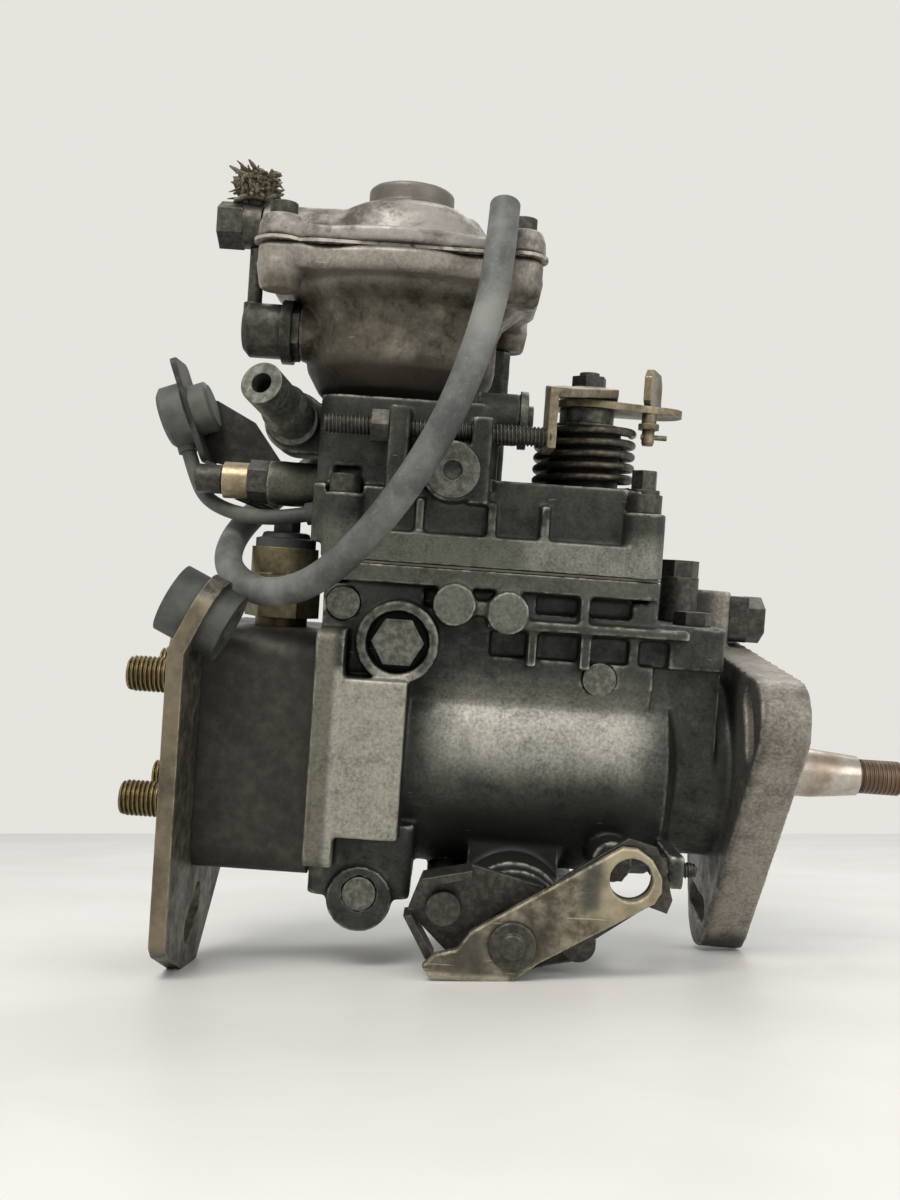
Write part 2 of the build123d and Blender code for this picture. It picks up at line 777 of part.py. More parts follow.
# Timing piston and the covers of its bore
with BuildPart() as timing_piston:
    round_bar(
        facing_viewer(timing_piston_half_length, timing_x, timing_z),
        timing_bore_radius - running_gap,
        2 * timing_piston_half_length,
    )
    block(facing_up(timing_z - 3, timing_x), 6.4, 8.0, 20, mode=Mode.SUBTRACT)
finish(timing_piston, "timing_piston")


with BuildPart() as timing_covers:
    with BuildSketch(facing_viewer(timing_front_y, timing_x, timing_z)) as front_outline:
        Circle(16)
        for place in timing_screw_places:
            with Locations(place):
                Circle(6)
        make_hull()
    extrude(front_outline.sketch, amount=timing_cover_thickness)
    round_bar(
        facing_viewer(timing_front_y, cold_x, cold_z), cold_shaft_radius + running_gap, 20, mode=Mode.SUBTRACT
    )
    round_bar(
        facing_viewer(timing_front_y, timing_x, timing_z),
        timing_screw_radius + bolt_gap,
        20,
        timing_screw_places,
        mode=Mode.SUBTRACT,
    )
    with BuildSketch(facing_viewer(timing_half_length, timing_x, timing_z)) as rear_outline:
        Circle(16)
        for place in timing_screw_places:
            with Locations(place):
                Circle(6)
        make_hull()
    extrude(rear_outline.sketch, amount=-timing_cover_thickness)
    round_bar(
        facing_viewer(timing_half_length, timing_x, timing_z),
        timing_screw_radius + bolt_gap,
        -20,
        timing_screw_places,
        mode=Mode.SUBTRACT,
    )
finish(timing_covers, "timing_covers")

# Distributor head with its barrel, plugs, bolts and outlets
outlet_places = [(sy * outlet_offset, sz * outlet_offset) for sy in (-1, 1) for sz in (-1, 1)]
head_bolt_places = [(sy * head_bolt_offset, sz * head_bolt_offset) for sy in (-1, 1) for sz in (-1, 1)]

with BuildPart() as distributor_head:
    block(
        facing_x(head_rear_x), 2 * head_half_width, 2 * head_half_width, head_length, corner=head_corner_radius
    )
    round_bar(facing_x(rear_face_x), bore_radius - seat_gap, head_nose_length)
    round_bar(facing_x(rear_face_x + head_nose_length), 16, 6)
    round_bar(
        facing_x(head_rear_x + 4), barrel_sleeve_radius + seat_gap, head_length + 20, mode=Mode.SUBTRACT
    )
    round_bar(facing_x(head_rear_x), sealing_plug_radius - 2 + seat_gap, 5, mode=Mode.SUBTRACT)
    round_bar(facing_x(head_rear_x), outlet_thread_radius + 1 + seat_gap, 16, outlet_places, mode=Mode.SUBTRACT)
    round_bar(
        facing_x(head_rear_x), head_bolt_radius + bolt_gap, head_length + 1, head_bolt_places, mode=Mode.SUBTRACT
    )
    round_bar(facing_up(head_half_width, solenoid_x, solenoid_y), 7 + seat_gap, -8.5, mode=Mode.SUBTRACT)
    round_bar(
        facing_up(head_half_width, solenoid_x, solenoid_y), solenoid_plunger_radius + free_gap, -15.5,
        mode=Mode.SUBTRACT,
    )
finish(distributor_head, "distributor_head")

with BuildPart() as delivery_valve_holders:
    hexagon_bar(facing_x(bracket_outer_x + 1.2), outlet_hex, -6, outlet_places)
    round_bar(facing_x(bracket_outer_x + 1.2), outlet_thread_radius + 1, 19, outlet_places)
    round_bar(facing_x(outlet_tip_x), outlet_thread_radius, bracket_outer_x + 1.2 - outlet_tip_x, outlet_places)
    round_bar(facing_x(outlet_tip_x), outlet_bore_radius, 30, outlet_places, mode=Mode.SUBTRACT)
finish(delivery_valve_holders, "delivery_valve_holders")

with BuildPart() as head_bolts:
    hexagon_bar(facing_x(bracket_outer_x), 13, -6, head_bolt_places)
    head_bolt_length = head_length + bracket_thickness + 7
    round_bar(facing_x(bracket_outer_x), head_bolt_radius, head_bolt_length, head_bolt_places)
finish(head_bolts, "head_bolts")

# Rear bracket, its bent ear and the bush in the ear
bracket_lean_angle = radians(bracket_lean)
ear_plane = Plane(
    origin=(head_rear_x - bracket_thickness / 2, bracket_bush_y, bracket_bend_z),
    x_dir=(0, 1, 0),
    z_dir=(cos(bracket_lean_angle), 0, -sin(bracket_lean_angle)),
)
bush_rise = 12.0
ear_half_width = bracket_bush_y - bracket_near_y

with BuildPart() as rear_bracket:
    plate(
        facing_x(bracket_outer_x),
        [
            (bracket_near_y, bracket_bend_z),
            (bracket_near_y, -56),
            (-62, -60),
            (-30, -76),
            (-22, -76),
            (19, -49),
            (39, -39),
            (39, bracket_bend_z),
        ],
        bracket_thickness,
        rounding=2.5,
    )
    round_bar(
        Plane(origin=(head_rear_x - bracket_thickness / 2, bracket_near_y, bracket_bend_z), z_dir=(0, 1, 0)),
        bracket_thickness / 2,
        2 * ear_half_width,
    )
    with BuildSketch(ear_plane) as ear_outline:
        with Locations((0, bush_rise / 2)):
            Rectangle(2 * ear_half_width, bush_rise)
        with Locations((0, bush_rise)):
            Circle(ear_half_width)
        with Locations((0, -15)):
            Rectangle(4 * ear_half_width, 30, mode=Mode.SUBTRACT)
    extrude(ear_outline.sketch, amount=bracket_thickness / 2, both=True)
    round_bar(
        ear_plane.offset(-10), bracket_bush_radius + seat_gap, 20, [(0, bush_rise)], mode=Mode.SUBTRACT
    )
    outer_face = facing_x(bracket_outer_x)
    round_bar(outer_face, outlet_hex / 2 + 2.5, bracket_thickness, outlet_places, mode=Mode.SUBTRACT)
    round_bar(outer_face, 15, bracket_thickness, mode=Mode.SUBTRACT)
    round_bar(
        outer_face, head_bolt_radius + bolt_gap, bracket_thickness, head_bolt_places, mode=Mode.SUBTRACT
    )
    with BuildSketch(facing_x(bracket_outer_x)) as foot_slot:
        with Locations(Location((-30, -55.5), 30)):
            SlotOverall(24, 11)
    extrude(foot_slot.sketch, amount=bracket_thickness, mode=Mode.SUBTRACT)
finish(rear_bracket, "rear_bracket")

with BuildPart() as bracket_bush:
    with BuildSketch(ear_plane.offset(-11)) as bush_section:
        with Locations((0, bush_rise)):
            Circle(bracket_bush_radius)
    extrude(bush_section.sketch, amount=20)
    round_bar(ear_plane.offset(-11), bracket_bush_bore, 20, [(0, bush_rise)], mode=Mode.SUBTRACT)
finish(bracket_bush, "bracket_bush")

# Fuel shut-off solenoid
solenoid_top_z = head_half_width + 27

with BuildPart() as solenoid_plunger:
    turned(
        facing_up(head_half_width - 15, solenoid_x, solenoid_y),
        [(0, 2), (2.5, solenoid_plunger_radius), (21, solenoid_plunger_radius)],
    )
finish(solenoid_plunger, "solenoid_plunger")

with BuildPart() as shutoff_solenoid:
    turned(
        facing_up(head_half_width - 8, solenoid_x, solenoid_y),
        [(0, 7), (8, 7), (8, 9), (11.5, 9), (11.5, 5), (28, 5)],
    )
    hexagon_bar(facing_up(head_half_width + 3, solenoid_x, solenoid_y), 22.5, 15)
    round_bar(facing_up(head_half_width + 18, solenoid_x, solenoid_y), solenoid_radius, 9)
    round_bar(
        facing_up(head_half_width - 8, solenoid_x, solenoid_y), solenoid_plunger_radius + running_gap, 16,
        mode=Mode.SUBTRACT,
    )
finish(shutoff_solenoid, "shutoff_solenoid")

with BuildPart() as solenoid_cap:
    turned(
        facing_up(solenoid_top_z, solenoid_x, solenoid_y), [(0, 10.4), (3, 10.4), (3.5, 8.5), (5, 8), (5.4, 7)]
    )
    round_bar(facing_up(solenoid_top_z, solenoid_x, solenoid_y), 2 + seat_gap, 6, mode=Mode.SUBTRACT)
    round_bar(facing_up(solenoid_top_z + 0.1, solenoid_x, solenoid_y), 2, 13)
    hexagon_bar(facing_up(solenoid_top_z + 5.5, solenoid_x, solenoid_y), 8, 5)
finish(solenoid_cap, "solenoid_cap")

# Governor cover with its gasket and screws
with BuildPart() as cover_gasket:
    slab((cover_left_x, cover_right_x), (-cover_half_width, cover_half_width), (joint_z, cover_base_z), 5)
    slab(
        (chamber_start_x, chamber_end_x), (-chamber_inner_y, chamber_inner_y), (joint_z, cover_base_z), 4,
        mode=Mode.SUBTRACT,
    )
    round_bar(facing_up(joint_z), cover_screw_radius + bolt_gap, 1, cover_screw_places, mode=Mode.SUBTRACT)
finish(cover_gasket, "cover_gasket")

with BuildPart() as governor_cover:
    flange_y_span = (-cover_half_width, cover_half_width)
    slab((cover_left_x, cover_right_x), flange_y_span, (cover_base_z, cover_flange_top_z), 5)
    slab((deck_left_x - 5, cover_right_x - 7), (-36, 36), (cover_base_z, deck_z), 6)
    tower_x_span = (tower_left_x, deck_left_x)
    slab(tower_x_span, (-tower_half_width, tower_half_width), (cover_base_z + 11, tower_top_z), 8)
    slab(tower_x_span, (-tower_half_width - 4, tower_half_width), (cover_base_z + 5, 88), 5)
    # Screw bosses at the corners, and the stiffening ribs of the near side
    round_bar(facing_up(cover_base_z), 6.5, cover_boss_height, cover_screw_places)
    round_bar(facing_up(cover_base_z), 6.3, deck_z - cover_base_z, [(deck_plug_x, deck_plug_y)])
    for rib_x in (-123, -100, -83):
        slab((rib_x - 1.3, rib_x + 1.3), (-cover_half_width + 1, -30), (cover_base_z, 85))
    # Barrel of the full-load screw
    round_bar(facing_x(full_load_boss_end_x, full_load_y, full_load_z), full_load_boss_radius, 30)
    # Boss of the return line's union, and the post behind the boost unit
    round_bar(facing_viewer(4, return_boss_x, return_boss_z), return_boss_radius, 4 - return_seat_y)
    slab(
        (return_boss_x, tower_left_x + 1),
        (return_seat_y, 4),
        (return_boss_z - return_boss_radius, tower_top_z - 1),
    )
    slab((-112, -95), (tower_half_width - 2, 46), (cover_flange_top_z, 147), 3)
    # Lugs of the speed stop screw, the eccentric's boss and the boss of the rear stop
    for lug_x, lug_top_z in zip(stop_lug_xs, (113.0, 111.0)):
        slab(
            (lug_x - stop_lug_width / 2, lug_x + stop_lug_width / 2),
            (stop_screw_y - 6, -20),
            (84, lug_top_z),
            1.5,
        )
    round_bar(facing_viewer(-20, eccentric_x, eccentric_z), 9.5, -20 - eccentric_seat_y)
    round_bar(facing_x(-107, -25, 113.5), 8.5, 14)
    # Column of the control shaft
    turned(facing_up(deck_z, control_x), [(0, 13), (2, 12.5), (24, 12.5)])

    # Chamber below, and the bores
    slab(
        (chamber_start_x, chamber_end_x - 3),
        (-chamber_inner_y, chamber_inner_y),
        (cover_base_z, 84),
        4,
        mode=Mode.SUBTRACT,
    )
    round_bar(facing_up(60, control_x), control_shaft_radius + running_gap, 80, mode=Mode.SUBTRACT)
    round_bar(
        facing_x(full_load_boss_end_x, full_load_y, full_load_z),
        full_load_screw_radius + seat_gap,
        28,
        mode=Mode.SUBTRACT,
    )
    round_bar(
        facing_x(stop_screw_left_x, stop_screw_y, stop_screw_z),
        stop_screw_radius + seat_gap,
        70,
        mode=Mode.SUBTRACT,
    )
    round_bar(facing_up(60), cover_screw_radius + bolt_gap, 40, cover_screw_places, mode=Mode.SUBTRACT)
    round_bar(
        facing_up(cover_base_z + cover_boss_height),
        cover_screw_head_radius + 1,
        9,
        cover_screw_places,
        mode=Mode.SUBTRACT,
    )
    round_bar(facing_up(deck_z, deck_plug_x, deck_plug_y), 3 + bolt_gap, -9, mode=Mode.SUBTRACT)
    round_bar(facing_up(84, boost_x), boost_pin_radius + free_gap, 40, mode=Mode.SUBTRACT)
    round_bar(facing_x(-106, -25, 113.5), 3.1, 14, mode=Mode.SUBTRACT)
    round_bar(facing_viewer(-34, eccentric_x, eccentric_z), 3 + seat_gap, 20, mode=Mode.SUBTRACT)
finish(governor_cover, "governor_cover")

# Full-load screw and its brass collar
full_load_nut_x = full_load_boss_end_x - 6.9

with BuildPart() as full_load_screw:
    round_bar(facing_x(-202, full_load_y, full_load_z), full_load_screw_radius, 50)
    round_bar(facing_x(-202, full_load_y, full_load_z), 5, 10)
finish(full_load_screw, "full_load_screw")

with BuildPart() as full_load_collar:
    round_bar(facing_x(-192, full_load_y, full_load_z), 6.3, 8.7)
    round_bar(
        facing_x(-192, full_load_y, full_load_z), full_load_screw_radius + running_gap, 8.7, mode=Mode.SUBTRACT
    )
finish(full_load_collar, "full_load_collar")

# Boost unit: bowl, diaphragm, cover, screws and the pin that the diaphragm moves
boost_bolt_places = [
    (boost_x + sx * boost_bolt_offset, sy * boost_bolt_offset) for sx in (-1, 1) for sy in (-1, 1)
]
boost_bolt_radius = 2.5
diaphragm_thickness = 1.0
boost_cover_base_z = boost_seam_z + diaphragm_thickness
boost_cover_top_z = boost_cover_base_z + boost_cover_flange


def boost_flange(z, thickness, inset=0.0):
    """Rounded square flange of the boost unit, with a lobe round each screw."""
    with BuildSketch(facing_up(z, boost_x)) as outline:
        flange_width = 2 * (boost_flange_half_width - inset)
        RectangleRounded(flange_width, flange_width, boost_flange_corner_radius)
        with GridLocations(2 * boost_bolt_offset, 2 * boost_bolt_offset, 2, 2):
            Circle(9.5 - inset)
    extrude(outline.sketch, amount=thickness)


with BuildPart() as boost_housing:
    turned(
        facing_up(tower_top_z, boost_x),
        [
            (0, 23.5),
            (4, 28),
            (11, boost_bowl_radius - 0.8),
            (15, boost_bowl_radius),
            (31, boost_bowl_radius),
            (37, 40),
            (40, 42),
        ],
    )
    boost_flange(boost_seam_z - boost_body_flange, boost_body_flange)
    round_bar(facing_up(boost_seam_z - 14), 8, 6, boost_bolt_places)
    # Port of the pressure line on the left
    round_bar(facing_x(-168.5, boost_feed_y, boost_port_z), 9.5, 12)
    # Spring chamber, pin bore and holes
    turned(
        facing_up(boost_floor_z, boost_x),
        [(0, 24), (4, 28.5), (boost_seam_z - boost_floor_z, 29)],
        mode=Mode.SUBTRACT,
    )
    round_bar(facing_up(tower_top_z, boost_x), boost_pin_radius + free_gap, 20, mode=Mode.SUBTRACT)
    round_bar(facing_x(-168.5, boost_feed_y, boost_port_z), 5 + seat_gap, 9, mode=Mode.SUBTRACT)
    round_bar(facing_up(boost_seam_z), boost_bolt_radius + bolt_gap, -14, boost_bolt_places, mode=Mode.SUBTRACT)
finish(boost_housing, "boost_housing")

with BuildPart() as boost_diaphragm:
    boost_flange(boost_seam_z, diaphragm_thickness, 0.8)
    round_bar(facing_up(boost_seam_z, boost_x), boost_pin_radius + running_gap, 2, mode=Mode.SUBTRACT)
    round_bar(facing_up(boost_seam_z), boost_bolt_radius + bolt_gap, 2, boost_bolt_places, mode=Mode.SUBTRACT)
finish(boost_diaphragm, "boost_diaphragm")

with BuildPart() as boost_pin:
    turned(
        facing_up(deck_z, boost_x),
        [
            (0, 2.5),
            (3, boost_pin_radius),
            (boost_seam_z - 2 - deck_z, boost_pin_radius),
            (boost_seam_z - 2 - deck_z, 22),
            (boost_seam_z - 0.3 - deck_z, 22),
            (boost_seam_z - 0.3 - deck_z, boost_pin_radius),
            (boost_cover_base_z + 0.3 - deck_z, boost_pin_radius),
            (boost_cover_base_z + 0.3 - deck_z, 20),
            (boost_cover_base_z + 2 - deck_z, 20),
            (boost_cover_base_z + 2 - deck_z, 5),
            (boost_cover_base_z + 6 - deck_z, 5),
        ],
    )
finish(boost_pin, "boost_pin")

with BuildPart() as boost_cover:
    boost_flange(boost_cover_base_z, boost_cover_flange)
    turned(
        facing_up(boost_cover_top_z, boost_x),
        [
            (0, 36),
            (2.5, 30),
            (6, boost_dome_radius),
            (10, 24.5),
            (13.5, 19.5),
            (boost_dome_top_z - boost_cover_top_z, boost_cap_radius),
            (boost_cap_top_z - boost_cover_top_z - 1, boost_cap_radius),
            (boost_cap_top_z - boost_cover_top_z, boost_cap_radius - 1),
        ],
    )
    round_bar(facing_x(-183.6, boost_feed_y, boost_feed_z), 6.2, 35)
    slab((-183.6, -160), (boost_feed_y - 4, boost_feed_y + 4), (boost_cover_top_z - 1, boost_feed_z))
    turned(
        facing_up(boost_cover_base_z, boost_x),
        [(0, 27.5), (5, 27), (14, 21), (18, 12)],
        mode=Mode.SUBTRACT,
    )
    round_bar(facing_x(-183.6, boost_feed_y, boost_feed_z), 3.5 + seat_gap, 12, mode=Mode.SUBTRACT)
    round_bar(
        facing_up(boost_cover_base_z), boost_bolt_radius + bolt_gap, boost_cover_flange, boost_bolt_places,
        mode=Mode.SUBTRACT,
    )
finish(boost_cover, "boost_cover")

# Pressure line of the boost unit: banjo, its bolt, the cut hose, the link pipe and the lower union
banjo_left_x = -190.0
banjo_right_x = -183.7

with BuildPart() as boost_banjo:
    round_bar(facing_x(banjo_left_x, boost_feed_y, boost_feed_z), 7.4, banjo_right_x - banjo_left_x)
    round_bar(facing_up(boost_feed_z, middle((banjo_left_x, banjo_right_x)), boost_feed_y), 3, 12)
    round_bar(
        facing_x(banjo_left_x, boost_feed_y, boost_feed_z), 3.5 + seat_gap, banjo_right_x - banjo_left_x,
        mode=Mode.SUBTRACT,
    )
    hexagon_bar(facing_x(banjo_left_x, boost_feed_y, boost_feed_z), 14, -8.5, turn=30)
    round_bar(facing_x(banjo_left_x, boost_feed_y, boost_feed_z), 3.5, 15)
finish(boost_banjo, "boost_banjo")

with BuildPart() as braided_hose_stub:
    stub_base = facing_up(boost_feed_z + 8.5, middle((banjo_left_x, banjo_right_x)), boost_feed_y)
    turned(stub_base, [(0, 4.2), (3, 5.2), (9, 5.6), (12, 4.6)])
    round_bar(stub_base, 3 + seat_gap, 3.5 + seat_gap, mode=Mode.SUBTRACT)
    round_bar(stub_base, 1.6, 12, mode=Mode.SUBTRACT)
finish(braided_hose_stub, "braided_hose_stub")

with BuildPart() as boost_link_pipe:
    link_x = middle((banjo_left_x, banjo_right_x)) + 1.5
    round_bar(facing_up(boost_port_z + 9, link_x, boost_feed_y), 2.5, boost_feed_z - boost_port_z - 9 - 7.6)
    turned(
        facing_x(-188, boost_feed_y, boost_port_z),
        [(0, 7), (2, 9.2), (13.4, 9.2), (13.4, 10.8), (17, 10.8)],
    )
    round_bar(facing_up(boost_port_z, link_x, boost_feed_y), 3.6, 9)
finish(boost_link_pipe, "boost_link_pipe")

# Speed stop screw with its nut, the eccentric and the rear stop
with BuildPart() as stop_screws:
    round_bar(
        facing_x(stop_screw_left_x, stop_screw_y, stop_screw_z),
        stop_screw_radius,
        stop_screw_right_x - stop_screw_left_x,
    )
    round_bar(facing_x(arm_stop_x - 8, arm_stop_y, arm_stop_z), arm_stop_radius, 15)
finish(stop_screws, "stop_screws")

with BuildPart() as lock_nuts:
    nut_x = stop_lug_xs[0] - stop_lug_width / 2
    hexagon_bar(facing_x(nut_x, stop_screw_y, stop_screw_z), 10, -5.5)
    hexagon_bar(facing_x(full_load_nut_x, full_load_y, full_load_z), 13, 6.9, turn=30)
    hexagon_bar(facing_x(arm_stop_x - 2.5, arm_stop_y, arm_stop_z), 8, -3)
    round_bar(
        facing_x(nut_x, stop_screw_y, stop_screw_z), stop_screw_radius + running_gap, -5.5, mode=Mode.SUBTRACT
    )
    round_bar(
        facing_x(full_load_nut_x, full_load_y, full_load_z),
        full_load_screw_radius + running_gap,
        6.9,
        mode=Mode.SUBTRACT,
    )
    round_bar(
        facing_x(arm_stop_x - 2.5, arm_stop_y, arm_stop_z),
        arm_stop_radius + running_gap,
        -3,
        mode=Mode.SUBTRACT,
    )
finish(lock_nuts, "lock_nuts")

with BuildPart() as stop_pins:
    round_bar(facing_viewer(eccentric_seat_y, eccentric_x, eccentric_z), 8.5, 3)
    round_bar(facing_viewer(eccentric_seat_y, eccentric_x, eccentric_z), 3 + seat_gap, 3, mode=Mode.SUBTRACT)
    round_bar(facing_viewer(-36, eccentric_x, eccentric_z), 3, -38 - eccentric_seat_y + 3)
    turned(
        facing_x(-105, -25, 113.5),
        [(0, 3), (12.1, 3), (12.1, 9.5), (14.6, 9.5), (14.6, 5), (16.5, 5)],
    )
finish(stop_pins, "stop_pins")

# Hexagon plugs of the head, the deck, the shelf and the boss behind the cold-start arm
with BuildPart() as hex_plugs:
    round_bar(facing_x(head_rear_x), sealing_plug_radius - 2, 3.5)
    hexagon_bar(facing_x(head_rear_x), 19, -7)
    round_bar(facing_up(deck_z, deck_plug_x, deck_plug_y), 5.5, 1.8)
    hexagon_bar(facing_up(deck_z + 1.8, deck_plug_x, deck_plug_y), 8, 6.5, turn=15)
    round_bar(facing_up(deck_z, deck_plug_x, deck_plug_y), 3, -8)
    hexagon_bar(facing_up(shelf_z, shelf_plug_x, shelf_plug_y), 11, 4.5)
    round_bar(facing_up(shelf_z, shelf_plug_x, shelf_plug_y), 3, -7)
    hexagon_bar(facing_viewer(-44, arm_bolt_x, arm_bolt_z), 9, 5)
    round_bar(facing_viewer(-44, arm_bolt_x, arm_bolt_z), 3, -9)
finish(hex_plugs, "hex_plugs")

# Control lever: shaft, return spring, two stacked plates, nut and link stud
column_top_z = deck_z + 24
hub_top_z = 121.8
lower_plate_top_z = 124.3

with BuildPart() as control_shaft:
    round_bar(facing_up(78, control_x), control_shaft_radius, control_plate_z + control_plate_thickness - 78)
    round_bar(facing_up(78, control_x), control_shaft_radius - 1, control_plate_z + 9 - 78)
    round_bar(facing_up(78, control_x), 6.5, 5.5)
    round_bar(facing_up(column_top_z + free_gap, control_x), 9.5, hub_top_z - column_top_z - free_gap)
finish(control_shaft, "control_shaft")

with BuildPart() as return_spring:
    spring_height = return_spring_pitch * return_spring_turns
    with BuildLine():
        Helix(return_spring_pitch, spring_height, return_spring_radius, center=(control_x, 0, deck_z + 2))
    with BuildSketch(Plane(origin=(control_x + return_spring_radius, 0, deck_z + 2), z_dir=(0, 1, 0))):
        Circle(return_spring_wire / 2)
    sweep(is_frenet=True)
finish(return_spring, "return_spring")

with BuildPart() as throttle_plate:
    with BuildSketch(facing_up(hub_top_z)) as throttle_outline:
        with Locations((control_x, 0)):
            Circle(12)
        with Locations((-42, 4)):
            Circle(8)
        make_hull()
    extrude(throttle_outline.sketch, amount=lower_plate_top_z - hub_top_z)
    tab_plane = Plane(origin=(-45, 2, lower_plate_top_z - 1), x_dir=(8, 20, 0), z_dir=(20, -8, 0))
    with BuildSketch(tab_plane.offset(-1.25)) as tab_outline:
        with Locations((0, 7)):
            Rectangle(18, 14)
        chamfer(tab_outline.vertices().group_by(Axis.Z)[-1], 3)
    extrude(tab_outline.sketch, amount=2.5)
    round_bar(
        facing_up(hub_top_z, control_x), control_shaft_radius + running_gap, 4, mode=Mode.SUBTRACT
    )
    # Link stud with its cross pin, below the free end
    turned(
        facing_up(hub_top_z, -46.5, -3),
        [(-11, 1.8), (-10, 2.2), (-5.5, 2.2), (-5.5, 3.6), (-3.5, 3.6), (-3.5, 2.6), (-0.1, 2.6)],
    )
    round_bar(facing_x(-49, -3, hub_top_z - 8), 0.9, 9)
finish(throttle_plate, "throttle_plate")

with BuildPart() as stop_arm:
    leg_near_y = -47.0
    leg_far_y = -26.0
    with BuildSketch(facing_up(control_plate_z)) as arm_outline:
        with Locations((control_x, 0)):
            Circle(10.5)
        with Locations((control_leg_x + 1.5, middle((leg_near_y, leg_far_y)))):
            Rectangle(6, leg_far_y - leg_near_y)
        make_hull()
    extrude(arm_outline.sketch, amount=control_plate_thickness)
    slab(
        (control_leg_x - control_plate_thickness / 2, control_leg_x + control_plate_thickness / 2),
        (leg_near_y, leg_far_y),
        (control_leg_bottom_z, control_plate_z + control_plate_thickness),
    )
    round_bar(facing_up(lower_plate_top_z, control_x), 8, control_plate_z - lower_plate_top_z)
    round_bar(
        facing_up(lower_plate_top_z, control_x), control_shaft_radius + running_gap, 6, mode=Mode.SUBTRACT
    )
finish(stop_arm, "stop_arm")

with BuildPart() as control_nut:
    nut_base = facing_up(control_plate_z + control_plate_thickness, control_x)
    hexagon_bar(nut_base, 11, 4.5, turn=15)
    round_bar(nut_base, control_shaft_radius - 1 + running_gap, 6, mode=Mode.SUBTRACT)
finish(control_nut, "control_nut")

# Cold-start lever with its bracket and screws
with BuildPart() as cold_start_bracket:
    plate(
        facing_viewer(timing_cover_front_y),
        [(-118, -43), (-114, -31), (-99, -27.5), (-76, -33), (-76, -41), (-90, -57), (-104, -56)],
        cold_bracket_thickness,
        rounding=1.5,
    )
    # Folded tabs: one along the top edge and one down the left edge
    plate(
        facing_viewer(timing_cover_front_y),
        [(-114, -31), (-99, -27.5), (-99, -30), (-113.5, -33.4)],
        10,
    )
    plate(
        facing_viewer(timing_cover_front_y),
        [(-119, -43), (-111, -56.5), (-109, -55.2), (-116.6, -42.6)],
        9,
    )
    round_bar(facing_viewer(timing_cover_front_y, cold_x, cold_z), 7.5, 4, mode=Mode.SUBTRACT)
    round_bar(
        facing_viewer(timing_cover_front_y, timing_x, timing_z),
        timing_screw_radius + bolt_gap,
        4,
        timing_screw_places[:1],
        mode=Mode.SUBTRACT,
    )
finish(cold_start_bracket, "cold_start_bracket")

# Screws of the governor cover, the boost cover and the two timing covers
with BuildPart() as cover_screws:
    round_bar(facing_up(cover_base_z + cover_boss_height), cover_screw_head_radius, 6, cover_screw_places)
    round_bar(facing_up(cover_base_z + cover_boss_height), cover_screw_radius, -26, cover_screw_places)
    with BuildSketch(facing_up(cover_base_z + cover_boss_height + 6)) as sockets:
        with Locations(*cover_screw_places):
            RegularPolygon(2.5, 6, major_radius=False)
    extrude(sockets.sketch, amount=-3, mode=Mode.SUBTRACT)
    round_bar(facing_up(boost_cover_top_z), 4.4, 4, boost_bolt_places)
    round_bar(facing_up(boost_cover_top_z), boost_bolt_radius, -20, boost_bolt_places)
    with BuildSketch(facing_up(boost_cover_top_z + 4)) as screw_sockets:
        with Locations(*boost_bolt_places):
            RegularPolygon(2.1, 6, major_radius=False)
    extrude(screw_sockets.sketch, amount=-2.5, mode=Mode.SUBTRACT)
    near_seats_y = (timing_cover_front_y - cold_bracket_thickness, timing_cover_front_y)
    for place, seat_y in zip(timing_screw_places, near_seats_y):
        near_seat = facing_viewer(seat_y, timing_x, timing_z)
        round_bar(near_seat, 5.3, 3.5, [place])
        round_bar(near_seat, timing_screw_radius, seat_y + timing_half_length - 12, [place])
    far_seat = facing_viewer(timing_half_length + timing_cover_thickness, timing_x, timing_z)
    round_bar(far_seat, 5.3, -3.5, timing_screw_places)
    round_bar(far_seat, timing_screw_radius, 18, timing_screw_places)
finish(cover_screws, "cover_screws")

cold_outer_y = cold_plate_y - cold_plate_thickness

with BuildPart() as cold_start_lever:
    with BuildSketch(facing_viewer(cold_plate_y)) as cold_arm:
        with Locations((cold_arm_hole_x, cold_arm_hole_z)):
            Circle(cold_arm_end_radius)
        with Locations((cold_x, cold_z)):
            Circle(9.5)
        make_hull()
    extrude(cold_arm.sketch, amount=cold_plate_thickness)
    plate(
        facing_viewer(cold_plate_y),
        [
            (-112.5, -55.3),
            (-110.7, -59.8),
            (-87, -59.6),
            (-80, -50),
            (-88, -41),
            (-95, -42.5),
            (-100, -46.5),
        ],
        cold_plate_thickness,
    )
    round_bar(facing_viewer(cold_outer_y, cold_x, cold_z), 7.3, 1.6)
    round_bar(
        facing_viewer(cold_plate_y, cold_arm_hole_x, cold_arm_hole_z),
        cold_arm_hole_radius,
        4,
        mode=Mode.SUBTRACT,
    )
    round_bar(facing_viewer(cold_plate_y, cold_x, cold_z), cold_shaft_radius + running_gap, 6, mode=Mode.SUBTRACT)
    # Shaft, riveted in the lever
    round_bar(facing_viewer(-36, cold_x, cold_z), cold_shaft_radius, -cold_outer_y + 3 - 36)
    round_bar(
        facing_viewer(timing_cover_front_y - free_gap, cold_x, cold_z),
        6.5,
        timing_cover_front_y - free_gap - cold_plate_y,
    )
    round_bar(facing_viewer(-30, cold_x, cold_z + 1.5), 1.8, 7)
finish(cold_start_lever, "cold_start_lever")

